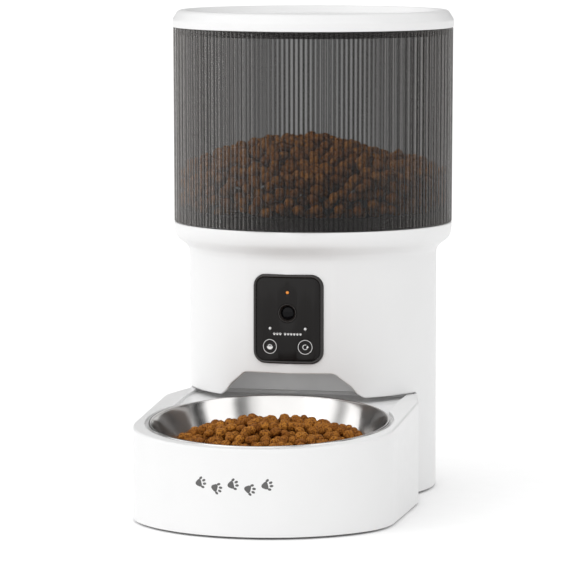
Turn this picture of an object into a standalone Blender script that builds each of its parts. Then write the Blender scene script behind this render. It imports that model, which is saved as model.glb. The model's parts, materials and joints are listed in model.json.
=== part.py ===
"""Automatic pet feeder: a round food tank with a lid, on a white tower that holds the camera panel and
the dispensing drive, and a tray with a steel bowl that slides into a notch at the tower's foot.

Metres, +Z up, the front faces -Y. The origin is under the middle of the whole feeder, on the floor.
The tank, the tower and the food wheel share one vertical axis at y = AXIS_Y.
"""

import math

import bmesh
import bpy
from mathutils import Matrix, Vector

# ---- driving dimensions -----------------------------------------------------------------------------
GAP = 0.0003                     # clearance between pieces that rest on each other
FINE = 48                        # facets of the large round shells
MEDIUM = 40                      # facets of the inner turned pieces
SMALL = 20
TINY = 12

AXIS_Y = 0.0657                  # the tower's axis
FOOT_GAP = 0.0015                # the shells' height above the floor
PLATE_LOW = 0.0007               # the dark base plates hang a little lower than the shells
FOOT_R = 0.0060                  # rubber feet
FOOT_POCKET_R = 0.0064
WALL = 0.0022

LID_R = 0.0950
LID_BOTTOM = 0.3125
LID_TOP = 0.3240
DISH_R = 0.0830
DISH_DEPTH = 0.0048
LID_SKIN = 0.0020
SKIRT_R = 0.0905
SKIRT_LOW = 0.3078
DESICCANT_R = 0.0272             # desiccant box, held in a ring under the lid
DESICCANT_LOW = 0.3080
DESICCANT_SLOTS = (-0.012, -0.004, 0.004, 0.012)

TANK_TOP_R = 0.0946
TANK_LOW_R = 0.0941
TANK_LOW = 0.1815
BAND_TOP = 0.1904                # top of the tank base's rim, seen through the tank wall

BODY_R = 0.0838
FLARE = ((0.1610, 0.0838), (0.1634, 0.0845), (0.1655, 0.0858), (0.1675, 0.0882),
         (0.1696, 0.0909), (0.1716, 0.0926), (0.1745, 0.0936), (0.1780, 0.0941))
OVERHANG = 0.0697                # lower edge of the tower's front
NOTCH_FACE = -0.0314             # the notch's rear wall, from the tower's axis
NOTCH_WALL = 0.0024
BOSS_BEARINGS = (-8, 48, 132, 188)
BOSS_REACH = 0.0757              # the base screws' distance from the axis
CEILING = 0.0885
ARCH_TOP = 0.0865
ARCH_HALF = 0.0280               # half width of the arch's flat top
ARCH_FOOT = 0.0495

PANEL_HALF = 0.0234
PANEL_LOW = 0.0934
PANEL_HIGH = 0.1522
PANEL_CORNER = 0.0080
PANEL_LIP = 0.0017
LENS_Z = 0.1268
LED_Z = 0.1405
DOT_Z = 0.1165
BUTTON_Z = 0.1045
SIDE_ANGLE = math.radians(8.15)  # bearing of the buttons and dots from the front
BUTTON_R = 0.0049
BUTTON_BACK = 0.0796             # inner end of the buttons
DOT_R = 0.0009
LED_R = 0.0013
BARREL_R = 0.0061                # camera barrel
BARREL_BACK = 0.0788
LENS_R = 0.0043

SOUND_SLOTS = 5
SOUND_PITCH = 0.0042
SOUND_HALF = 0.0009
SOUND_LOW = 0.1130
SOUND_HIGH = 0.1270
INLET_Z = 0.0200

DECK_LOW = 0.1545
DECK_HIGH = 0.1575
WHEEL_R = 0.0450
HUB_R = 0.0100
PADDLES = 6
POCKET_FLOOR = 0.1605
OUTLET_HALF = 0.0160
OUTLET_NEAR = -0.0195            # outlet span from the tower's axis
OUTLET_FAR = -0.0435

GEAR_MODULE = 0.0009
GEAR_TEETH = 28
PINION_TEETH = 10
GEAR_SPACING = GEAR_MODULE * (GEAR_TEETH + PINION_TEETH) / 2
LEVEL_A = (0.1340, 0.1388)       # pinion and idler wheel
LEVEL_B = (0.1398, 0.1460)       # idler pinion and drive gear
CASE_HALF = 0.0166               # gearbox case
CASE_NEAR = -0.0167
CASE_FAR = 0.0430
CASE_WALL = 0.0016

TRAY_ARC_R = 0.0917              # front arc of the tray and its centre, from the tower's axis
TRAY_ARC_Y = -0.1347
TRAY_FILLET = 0.0580
TRAY_HALF = 0.0852
TRAY_REAR_HALF = 0.0860
TRAY_SHOULDER_Y = -0.0700        # where the sides turn in towards the tower
TRAY_TAIL_HALF = 0.0777
TRAY_BACK_Y = NOTCH_FACE - GAP
TRAY_TOP = 0.0690
RIM_FRONT_Z = 0.0572
RIM_SLOPE = 0.0752
RIM_DEPTH = 0.0026               # the bowl's seat below the rim
BOWL_Y = -0.1393
BOWL_RIM_R = 0.0784
SEAT_R = 0.0806
WELL_R = 0.0770
DECK_HALF = 0.0720
REAR_LIP = 0.0028
TRAY_DECK_Z = 0.0666
LUG_NEAR = 0.0300                # the two lugs that hold the tray to the tower
LUG_FAR = 0.0460
LUG_LOW = 0.0080
LUG_HIGH = 0.0120
LUG_PLAY = 0.0004

HATCH_HALF = 0.0535              # opening for the batteries
HATCH_NEAR = -0.0235
HATCH_FAR = 0.0445
CELL_R = 0.0165
CELL_LENGTH = 0.0610

FINISHES = {                     # colour, roughness, metallic
    "white": ((0.90, 0.90, 0.90), 0.38, 0.0),
    "smoke": ((0.10, 0.09, 0.085), 0.20, 0.0),
    "black_gloss": ((0.022, 0.020, 0.019), 0.15, 0.0),
    "black": ((0.030, 0.029, 0.028), 0.50, 0.0),
    "steel": ((0.66, 0.65, 0.64), 0.24, 1.0),
    "zinc": ((0.55, 0.55, 0.57), 0.35, 1.0),
    "silicone": ((0.20, 0.20, 0.21), 0.70, 0.0),
    "nylon": ((0.80, 0.79, 0.74), 0.45, 0.0),
    "brass": ((0.72, 0.55, 0.25), 0.35, 1.0),
    "board": ((0.03, 0.16, 0.07), 0.45, 0.0),
    "glass": ((0.012, 0.012, 0.016), 0.05, 0.0),
    "amber": ((0.90, 0.36, 0.05), 0.30, 0.0),
    "cell": ((0.10, 0.11, 0.14), 0.35, 0.0),
    "pouch": ((0.86, 0.86, 0.84), 0.80, 0.0),
}


# ---- modelling helpers ------------------------------------------------------------------------------
def clear_scene():
    for old in list(bpy.data.objects):
        bpy.data.objects.remove(old, do_unlink=True)


def add_object(name, bm, finish, location):
    """Links a mesh as a named object with its own material."""
    bmesh.ops.recalc_face_normals(bm, faces=bm.faces)
    mesh = bpy.data.meshes.new(name)
    bm.to_mesh(mesh)
    bm.free()
    obj = bpy.data.objects.new(name, mesh)
    obj.location = location
    bpy.context.scene.collection.objects.link(obj)
    if finish:
        colour, roughness, metallic = FINISHES[finish]
        material = bpy.data.materials.new(name)
        material.use_nodes = True
        shader = material.node_tree.nodes["Principled BSDF"]
        shader.inputs["Base Color"].default_value = (*colour, 1.0)
        shader.inputs["Roughness"].default_value = roughness
        shader.inputs["Metallic"].default_value = metallic
        mesh.materials.append(material)
    mesh.shade_smooth()
    mesh.set_sharp_from_angle(angle=math.radians(35))
    return obj


def lathe(name, profile, finish=None, segments=FINE, centre=(0.0, AXIS_Y)):
    """A closed outline of (radius, height) points turned about a vertical axis."""
    bm = bmesh.new()
    rings = []
    for radius, height in profile:
        if radius == 0.0:
            rings.append([bm.verts.new((0.0, 0.0, height))] * segments)
            continue
        steps = (math.tau * step / segments for step in range(segments))
        rings.append([bm.verts.new((radius * math.cos(a), radius * math.sin(a), height)) for a in steps])
    for ring, following in zip(rings, rings[1:] + rings[:1]):
        for here in range(segments):
            there = (here + 1) % segments
            corners = [ring[here], ring[there], following[there], following[here]]
            face = list(dict.fromkeys(corners))
            if len(face) > 2:
                bm.faces.new(face)
    return add_object(name, bm, finish, (centre[0], centre[1], 0.0))


def prism(name, outline, low, high, finish=None, along="Z", origin=(0.0, AXIS_Y, 0.0)):
    """A flat outline pushed from low to high along X, Y or Z."""
    place = {
        "X": lambda u, v, w: (w, u, v),
        "Y": lambda u, v, w: (u, w, v),
        "Z": lambda u, v, w: (u, v, w),
    }[along]
    bm = bmesh.new()
    near = [bm.verts.new(place(u, v, low)) for u, v in outline]
    far = [bm.verts.new(place(u, v, high)) for u, v in outline]
    bm.faces.new(near)
    bm.faces.new(far)
    for here in range(len(outline)):
        there = (here + 1) % len(outline)
        bm.faces.new((near[here], near[there], far[there], far[here]))
    return add_object(name, bm, finish, origin)


def box(name, low, high, finish=None, origin=(0.0, AXIS_Y, 0.0)):
    outline = [(low[0], low[1]), (high[0], low[1]), (high[0], high[1]), (low[0], high[1])]
    return prism(name, outline, low[2], high[2], finish, "Z", origin)


def loft(name, lower, upper, low, high, finish=None):
    """A duct-shaped solid between two rectangles (x half width, y near, y far) at two heights."""
    bm = bmesh.new()
    levels = []
    for (half, near, far), height in ((lower, low), (upper, high)):
        corners = ((-half, near), (half, near), (half, far), (-half, far))
        levels.append([bm.verts.new((x, y, height)) for x, y in corners])
    bm.faces.new(levels[0])
    bm.faces.new(levels[1])
    for here in range(4):
        there = (here + 1) % 4
        bm.faces.new((levels[0][here], levels[0][there], levels[1][there], levels[1][here]))
    return add_object(name, bm, finish, (0.0, AXIS_Y, 0.0))


def rod(name, radius, start, end, finish=None, segments=TINY):
    """A round rod between two points given from the tower's axis."""
    start, end = Vector(start), Vector(end)
    bm = bmesh.new()
    turn = (end - start).to_track_quat("Z", "Y").to_matrix().to_4x4()
    bmesh.ops.create_cone(bm, cap_ends=True, segments=segments, radius1=radius, radius2=radius,
                          depth=(end - start).length,
                          matrix=Matrix.Translation((end - start) / 2) @ turn)
    return add_object(name, bm, finish, (start.x, start.y + AXIS_Y, start.z))


def boolean(target, tool, operation):
    modifier = target.modifiers.new(operation.lower(), "BOOLEAN")
    modifier.operation = operation
    modifier.solver = "EXACT"
    modifier.object = tool
    tool.hide_render = True
    tool.display_type = "WIRE"


def cut(target, *tools):
    for tool in tools:
        boolean(target, tool, "DIFFERENCE")


def join(target, *tools):
    for tool in tools:
        boolean(target, tool, "UNION")


def keep_inside(target, tool):
    boolean(target, tool, "INTERSECT")


def move_to(obj, point):
    """Puts the object's origin at a point, and leaves its shape where it is."""
    shift = Vector(point) - obj.location
    obj.data.transform(Matrix.Translation(-shift))
    obj.location = point


def rounded_rectangle(half_width, low, high, corner, steps=5):
    points = []
    centres = ((half_width - corner, low + corner, -90), (half_width - corner, high - corner, 0),
               (corner - half_width, high - corner, 90), (corner - half_width, low + corner, 180))
    for x, z, start in centres:
        for step in range(steps + 1):
            angle = math.radians(start + 90 * step / steps)
            points.append((x + corner * math.cos(angle), z + corner * math.sin(angle)))
    return points


def circle_points(radius, segments, centre=(0.0, 0.0)):
    turns = (math.tau * step / segments for step in range(segments))
    return [(centre[0] + radius * math.cos(a), centre[1] + radius * math.sin(a)) for a in turns]


def gear_outline(teeth, phase, centre=(0.0, 0.0)):
    """Straight-flanked teeth, with one tooth centred on the phase angle."""
    pitch = math.tau / teeth
    radius = GEAR_MODULE * teeth / 2
    root = radius - 1.2 * GEAR_MODULE
    tip = radius + 0.85 * GEAR_MODULE
    points = []
    for tooth in range(teeth):
        middle = phase + tooth * pitch
        for reach, turn in ((root, -0.30), (tip, -0.11), (tip, 0.11), (root, 0.30)):
            angle = middle + turn * pitch
            points.append((centre[0] + reach * math.cos(angle), centre[1] + reach * math.sin(angle)))
    return points


def front_point(angle, radius, height):
    """A point on the tower's front at a bearing from -Y, from the tower's axis."""
    return (radius * math.sin(angle), -radius * math.cos(angle), height)


# ---- lid --------------------------------------------------------------------------------------------
def make_lid():
    dish = LID_TOP - DISH_DEPTH
    under = dish - LID_SKIN
    skirt_in = SKIRT_R - LID_SKIN
    ring_in = DESICCANT_R + 0.0004
    ring_out = ring_in + LID_SKIN
    ring_low = under - 0.0050
    profile = [
        (0.0, dish), (DISH_R, dish), (0.0850, LID_TOP - 0.0006), (0.0862, LID_TOP), (0.0905, LID_TOP),
        (0.0932, LID_TOP - 0.0012), (0.0946, LID_TOP - 0.0035), (LID_R, LID_TOP - 0.0065),
        (LID_R, LID_BOTTOM), (SKIRT_R, LID_BOTTOM), (SKIRT_R, SKIRT_LOW), (skirt_in, SKIRT_LOW),
        (skirt_in, under), (ring_out, under), (ring_out, ring_low), (ring_in, ring_low), (ring_in, under),
        (0.0, under),
    ]
    lathe("lid", profile, "white")
    seal_r = TANK_TOP_R - WALL - GAP
    seal_low, seal_high = SKIRT_LOW, LID_BOTTOM - 0.0004
    seal = [(SKIRT_R + GAP, seal_low), (seal_r, seal_low + 0.0004), (seal_r, seal_high - 0.0003),
            (SKIRT_R + GAP, seal_high)]
    lathe("lid_seal", seal, "silicone", MEDIUM)
    rim = under - GAP
    bore = DESICCANT_R - 0.0012
    low = DESICCANT_LOW
    cup = [(0.0, low), (bore, low), (DESICCANT_R, low + 0.0012), (DESICCANT_R, rim), (bore, rim),
           (bore, low + 0.0016), (0.0, low + 0.0016)]
    desiccant_box = lathe("desiccant_box", cup, "white", SMALL)
    for x in DESICCANT_SLOTS:
        cut(desiccant_box, box(f"desiccant_slot_{x}", (x - 0.001, -0.016, 0.305), (x + 0.001, 0.016, 0.3094)))
    pouch = [(0.0, 0.3100), (0.0200, 0.3102), (0.0245, 0.3120), (0.0200, 0.3150), (0.0, 0.3156)]
    lathe("desiccant_pouch", pouch, "pouch", TINY)


# ---- food tank --------------------------------------------------------------------------------------
def make_tank():
    top = LID_BOTTOM - GAP
    wall = [(TANK_LOW_R, TANK_LOW), (TANK_TOP_R, top), (TANK_TOP_R - WALL, top),
            (TANK_LOW_R - WALL, TANK_LOW)]
    lathe("tank", wall, "smoke")
    funnel_low = WHEEL_R + 0.0010
    profile = [
        (0.0090, 0.1585), (0.0478, 0.1585), (0.0478, 0.1755), (0.0880, 0.1870), (0.0880, 0.1765),
        (0.0904, 0.1765), (0.0904, 0.1818), (0.0915, 0.1818), (0.0915, BAND_TOP), (0.0895, BAND_TOP),
        (funnel_low, 0.1780), (funnel_low, POCKET_FLOOR), (0.0090, POCKET_FLOOR),
    ]
    base = lathe("tank_base", profile, "black", MEDIUM)
    cut(base, box("base_outlet", (-OUTLET_HALF, OUTLET_FAR, 0.150), (OUTLET_HALF, OUTLET_NEAR, 0.1612)))
    shield_outline = [(0.0120, -0.0100), (0.0220, -0.0460), (0.0180, -0.0500), (0.0, -0.0520),
                      (-0.0180, -0.0500), (-0.0220, -0.0460), (-0.0120, -0.0100)]
    shield = prism("outlet_shield", shield_outline, 0.1806, 0.1824, "black")
    cut(shield, rod("shield_clearance", 0.0125, (0, 0, 0.17), (0, 0, 0.20), segments=SMALL))
    for turn in (-24, 24):
        x, y, _ = front_point(math.radians(turn), 0.0495, 0.0)
        low, high = (x - 0.0015, y - 0.0015, 0.1797), (x + 0.0015, y + 0.0015, 0.1815)
        join(shield, box(f"shield_leg_{turn}", low, high))


def make_food_wheel():
    core = [(0.0, 0.1900), (0.0035, 0.1890), (HUB_R, 0.1785), (HUB_R, POCKET_FLOOR + GAP),
            (0.0086, POCKET_FLOOR + GAP), (0.0086, 0.1587), (0.0, 0.1587)]
    hub = lathe("wheel_hub", core, "nylon", SMALL)
    socket = prism("hub_socket", circle_points(0.0060, 6), 0.1570, 0.1690)
    cut(hub, socket)
    outline = []
    for paddle in range(PADDLES):
        middle = math.tau * paddle / PADDLES
        for reach, across in ((0.0125, -0.0009), (WHEEL_R, -0.0007), (WHEEL_R, 0.0007), (0.0125, 0.0009)):
            outline.append((reach * math.cos(middle) - across * math.sin(middle),
                            reach * math.sin(middle) + across * math.cos(middle)))
    paddle_wheel = prism("wheel_paddles", outline, POCKET_FLOOR + 0.0005, 0.1775, "silicone")
    cut(paddle_wheel, rod("paddle_bore", HUB_R + GAP, (0, 0, 0.150), (0, 0, 0.190), segments=SMALL))


# ---- tower shell ------------------------------------------------------------------------------------
def make_housing():
    top = TANK_LOW - GAP
    outer = [(0.0, FOOT_GAP), (BODY_R, FOOT_GAP)]
    outer += [(r, z) for z, r in FLARE]
    outer += [(TANK_LOW_R, top), (0.0, top)]
    housing = lathe("housing", outer, "white")
    inner_r = BODY_R - WALL
    ledge = 0.0016
    inner = [
        (0.0, -0.010), (inner_r, -0.010), (inner_r, 0.1515), (inner_r - ledge, 0.1525),
        (inner_r - ledge, DECK_LOW - GAP), (inner_r, DECK_LOW - GAP), (inner_r, 0.1640), (0.0840, 0.1672),
        (0.0865, 0.1700), (0.0905, 0.1735), (0.0914, 0.1760), (0.0914, 0.1900), (0.0, 0.1900),
    ]
    void = lathe("housing_void", inner)
    block_corner = (0.12, NOTCH_FACE + NOTCH_WALL, CEILING + NOTCH_WALL)
    cut(void, box("front_block", (-0.12, -0.12, -0.02), block_corner))
    cut(housing, void)
    notch = box("notch", (-0.12, -0.12, -0.02), (0.12, NOTCH_FACE, OVERHANG))
    recess = lathe("recess", [(0.0, 0.060), (inner_r, 0.060), (inner_r, CEILING), (0.0, CEILING)])
    keep_inside(recess, box("recess_limit", (-0.12, -0.12, 0.05), (0.12, NOTCH_FACE, 0.10)))
    cut(housing, notch, recess, prism("arch", arch_outline(), -0.10, -0.045, along="Y"))
    slot = rounded_rectangle(PANEL_HALF + GAP, PANEL_LOW - GAP, PANEL_HIGH + GAP, PANEL_CORNER + GAP)
    cut(housing, prism("panel_slot", slot, -0.10, -0.06, along="Y"))
    cut(housing, box("chute_slot", (-0.0214, -0.0618, 0.080), (0.0214, NOTCH_FACE - 0.0012, 0.100)))
    for side in (-1, 1):
        low_x, high_x = sorted((side * (LUG_NEAR - LUG_PLAY), side * (LUG_FAR + LUG_PLAY)))
        low, high = (low_x, -0.040, LUG_LOW - LUG_PLAY), (high_x, -0.020, LUG_HIGH + LUG_PLAY)
        cut(housing, box(f"lug_slot_{side}", low, high))
    for index in range(SOUND_SLOTS):
        x = (index - (SOUND_SLOTS - 1) / 2) * SOUND_PITCH
        low, high = (x - SOUND_HALF, 0.070, SOUND_LOW), (x + SOUND_HALF, 0.100, SOUND_HIGH)
        cut(housing, box(f"sound_slot_{index}", low, high))
    cut(housing, rod("inlet_hole", 0.0052, (0, 0.070, INLET_Z), (0, 0.100, INLET_Z)))
    for index, bearing in enumerate(BOSS_BEARINGS):
        boss = box(f"boss_{index}", (0.0720, -0.0040, 0.0043), (0.0826, 0.0040, 0.0160))
        boss.rotation_euler = (0.0, 0.0, math.radians(bearing))
        join(housing, boss)
    for index, (x, y) in enumerate(boss_places()):
        cut(housing, rod(f"boss_hole_{index}", 0.0016, (x, y, 0.0), (x, y, 0.0140), segments=8))


def arch_outline():
    """Flat-topped arch with rounded shoulders and sloping sides, wider below the edge."""
    shoulder = 0.0070
    half = [(ARCH_HALF, ARCH_TOP)]
    for step in range(1, 4):
        turn = math.radians(90 - 18 * step)
        half.append((ARCH_HALF + shoulder * math.cos(turn), ARCH_TOP - shoulder + shoulder * math.sin(turn)))
    half += [(0.0412, 0.0775), (0.0443, 0.0732), (0.0468, 0.0711), (ARCH_FOOT, OVERHANG), (ARCH_FOOT, 0.0600)]
    return half + [(-x, z) for x, z in reversed(half)]


def boss_places():
    angles = (math.radians(bearing) for bearing in BOSS_BEARINGS)
    return [(BOSS_REACH * math.cos(a), BOSS_REACH * math.sin(a)) for a in angles]


def make_base():
    plate_r = BODY_R - WALL - GAP
    low, high = PLATE_LOW, 0.0040
    plate = lathe("base_plate", [(0.0, low), (plate_r, low), (plate_r, high), (0.0, high)], "black")
    cut(plate, box("plate_front", (-0.12, -0.12, -0.01), (0.12, NOTCH_FACE + NOTCH_WALL + GAP, 0.02)))
    cut(plate, box("battery_hatch", (-HATCH_HALF, HATCH_NEAR, -0.01), (HATCH_HALF, HATCH_FAR, 0.02)))
    feet = [(0.0625, -0.018), (-0.0625, -0.018), (0.030, 0.068), (-0.030, 0.068)]
    for index, (x, y) in enumerate(feet):
        rod(f"base_foot_{index + 1}", FOOT_R, (x, y, 0.0), (x, y, 0.0030), "silicone", segments=TINY)
        cut(plate, rod(f"foot_pocket_{index}", FOOT_POCKET_R, (x, y, -0.01), (x, y, 0.0033), segments=TINY))
    for index, (x, y) in enumerate(boss_places()):
        cut(plate, rod(f"screw_hole_{index}", 0.0016, (x, y, -0.01), (x, y, 0.01), segments=8))
        cut(plate, rod(f"screw_seat_{index}", 0.0030, (x, y, -0.01), (x, y, 0.0029), segments=8))
        profile = [(0.0, 0.0016), (0.0026, 0.0016), (0.0026, 0.0026), (0.0013, 0.0026), (0.0013, 0.0120),
                   (0.0, 0.0130)]
        lathe(f"base_screw_{index + 1}", profile, "zinc", 8, (x, y + AXIS_Y))
    play = 0.0004
    low, high = (play - HATCH_HALF, HATCH_NEAR + play, PLATE_LOW), (HATCH_HALF - play, HATCH_FAR - play, 0.0036)
    box("battery_door", low, high, "black")
    case = box("battery_box", (-0.0550, -0.0250, 0.0043), (0.0550, 0.0460, 0.0400), "black")
    cut(case, box("battery_space", (-0.0530, -0.0230, 0.0), (0.0530, 0.0440, 0.0382)))
    centre_z = 0.0045 + CELL_R
    for index in range(3):
        x = (index - 1) * (2 * CELL_R + 0.0015)
        back = -0.0210
        cell = rod(f"battery_cell_{index + 1}", CELL_R, (x, back, centre_z),
                   (x, back + CELL_LENGTH - 0.0025, centre_z), "cell", segments=16)
        join(cell, rod(f"cell_tip_{index}", 0.0045, (x, back + 0.05, centre_z),
                       (x, back + CELL_LENGTH, centre_z), segments=8))


# ---- drive ------------------------------------------------------------------------------------------
def make_deck():
    deck = lathe("top_deck", [(0.0, DECK_LOW), (BODY_R - WALL - GAP, DECK_LOW),
                              (BODY_R - WALL - GAP, DECK_HIGH), (0.0, DECK_HIGH)], "white")
    cut(deck, box("deck_outlet", (-OUTLET_HALF - 0.0005, OUTLET_FAR - 0.0005, 0.14),
                  (OUTLET_HALF + 0.0005, OUTLET_NEAR + 0.0005, 0.17)))
    cut(deck, rod("deck_bush_hole", 0.0058, (0, 0, 0.14), (0, 0, 0.17)))
    bush = rod("shaft_bush", 0.0055, (0, 0, 0.1533), (0, 0, 0.1578), "brass")
    cut(bush, rod("bush_bore", 0.0027, (0, 0, 0.14), (0, 0, 0.17)))


def make_gearbox():
    idler_y = GEAR_SPACING
    motor_y = 2 * GEAR_SPACING
    up = math.pi / 2
    room = CASE_HALF - CASE_WALL
    case = box("gearbox_case", (-CASE_HALF, CASE_NEAR, 0.1330), (CASE_HALF, CASE_FAR, 0.1530), "nylon")
    cut(case, box("case_space", (-room, CASE_NEAR + CASE_WALL, 0.1200), (room, CASE_FAR - CASE_WALL, 0.1512)))
    cut(case, rod("case_shaft_hole", 0.0030, (0, 0, 0.14), (0, 0, 0.16)))
    cover = box("gearbox_cover", (-CASE_HALF, CASE_NEAR, 0.1304), (CASE_HALF, CASE_FAR, 0.1327), "nylon")
    cut(cover, rod("cover_motor_hole", 0.0040, (0, motor_y, 0.12), (0, motor_y, 0.14)))
    cut(cover, rod("cover_shaft_seat", 0.0027, (0, 0, 0.1316), (0, 0, 0.14)))
    cut(cover, rod("cover_pin_seat", 0.0013, (0, idler_y, 0.1316), (0, idler_y, 0.14)))

    shaft = rod("drive_shaft", 0.0023, (0, 0, 0.1319), (0, 0, 0.1600), "steel")
    join(shaft, prism("drive_dog", circle_points(0.0055, 6), 0.1584, 0.1680))
    move_to(shaft, (0.0, AXIS_Y, 0.0))
    gear = prism("drive_gear", gear_outline(GEAR_TEETH, up), *LEVEL_B, "nylon")
    cut(gear, rod("gear_bore", 0.0025, (0, 0, 0.12), (0, 0, 0.16)))

    idler_origin = (0.0, AXIS_Y + idler_y, 0.0)
    idler = prism("idler_gear", gear_outline(GEAR_TEETH, up), *LEVEL_A, "nylon", origin=idler_origin)
    small_phase = -up + math.pi / PINION_TEETH
    join(idler, prism("idler_pinion", gear_outline(PINION_TEETH, small_phase), LEVEL_A[1] - 0.0010,
                      LEVEL_B[1] + 0.0006, origin=idler_origin))
    cut(idler, rod("idler_bore", 0.0013, (0, idler_y, 0.12), (0, idler_y, 0.16), segments=8))
    rod("idler_pin", 0.0010, (0, idler_y, 0.1319), (0, idler_y, 0.1508), "steel", segments=8)

    pinion = prism("motor_pinion", gear_outline(PINION_TEETH, small_phase), *LEVEL_A, "brass",
                   origin=(0.0, AXIS_Y + motor_y, 0.0))
    join(pinion, rod("motor_spindle", 0.0010, (0, motor_y, 0.1303), (0, motor_y, 0.1345), segments=8))
    profile = [(0.0, 0.0960), (0.0035, 0.0960), (0.0035, 0.0978), (0.0120, 0.0978), (0.0120, 0.1301),
               (0.0036, 0.1301), (0.0036, 0.1312), (0.0014, 0.1312), (0.0014, 0.1290), (0.0, 0.1290)]
    lathe("motor", profile, "zinc", SMALL, (0.0, AXIS_Y + motor_y))


def make_chute():
    outer_low, outer_high = (0.0211, -0.0614, -0.0342), (0.0190, -0.0460, -0.0175)
    inner_low, inner_high = (0.0196, -0.0599, -0.0357), (0.0175, -0.0445, -0.0190)
    chute = loft("food_chute", outer_low, outer_high, CEILING + 0.0001, DECK_LOW - GAP, "white")
    stretch = 0.02
    rise = DECK_LOW - CEILING
    lower = [a + (a - b) * stretch / rise for a, b in zip(inner_low, inner_high)]
    upper = [b + (b - a) * stretch / rise for a, b in zip(inner_low, inner_high)]
    cut(chute, loft("chute_space", lower, upper, CEILING - stretch, DECK_LOW + stretch))


# ---- electronics ------------------------------------------------------------------------------------
def make_electronics():
    board = box("main_board", (-0.0280, 0.0620, 0.0600), (0.0280, 0.0636, 0.1080), "board")
    chips = [(-0.014, 0.092, 0.0070, 0.0030), (0.012, 0.076, 0.0050, 0.0022), (0.016, 0.098, 0.0040, 0.0060)]
    for index, (x, z, half, depth) in enumerate(chips):
        join(board, box(f"chip_{index}", (x - half, 0.0615 - depth, z - half), (x + half, 0.0625, z + half)))
    low, high = (-0.0055, 0.0700, INLET_Z - 0.0060), (0.0055, 0.0803, INLET_Z + 0.0060)
    socket = box("dc_socket", low, high, "black")
    join(socket, rod("socket_nose", 0.0048, (0, 0.0780, INLET_Z), (0, 0.0834, INLET_Z)))
    cut(socket, rod("socket_bore", 0.0033, (0, 0.0725, INLET_Z), (0, 0.0900, INLET_Z)))
    join(socket, rod("socket_pin", 0.0010, (0, 0.0715, INLET_Z), (0, 0.0765, INLET_Z), segments=8))
    speaker = [(0.0, 0.0), (0.0110, 0.0), (0.0110, 0.0030), (0.0165, 0.0030), (0.0165, 0.0052), (0.0, 0.0030)]
    cone = lathe("speaker", speaker, "black", SMALL, (0.0, AXIS_Y + 0.0700))
    cone.rotation_euler = (-math.pi / 2, 0.0, 0.0)
    cone.location.z = (SOUND_LOW + SOUND_HIGH) / 2

    front = box("control_board", (-0.0200, -0.0705, 0.0960), (0.0200, -0.0690, 0.1490), "board")
    join(front, box("board_connector", (-0.0060, -0.0695, 0.1380), (0.0060, -0.0660, 0.1430)))
    low, high = (-0.0070, -0.0784, LENS_Z - 0.0070), (0.0070, -0.0708, LENS_Z + 0.0070)
    camera = box("camera_module", low, high, "black")
    cut(camera, rod("sensor_well", 0.0036, (0, -0.0900, LENS_Z), (0, -0.0760, LENS_Z)))
    for name, side in (("feed", -1), ("reset", 1)):
        x, y, z = front_point(side * SIDE_ANGLE, BODY_R, BUTTON_Z)
        low, high = (x - 0.0030, -0.0745, z - 0.0030), (x + 0.0030, -0.0708, z + 0.0030)
        switch = box(f"{name}_switch", low, high, "black")
        join(switch, rod(f"{name}_plunger", 0.0016, (x, -0.0740, z), (x, -0.0772, z), segments=8))


# ---- control panel ----------------------------------------------------------------------------------
def curved_plate(name, outline, inner_r, outer_r, finish):
    """An outline on the tower's front, given the tower's curve between two radii."""
    plate = prism(name, outline, -0.0950, -0.0600, finish, along="Y")
    shell = [(inner_r, 0.080), (outer_r, 0.080), (outer_r, 0.170), (inner_r, 0.170)]
    keep_inside(plate, lathe(f"{name}_shell", shell))
    return plate


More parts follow.
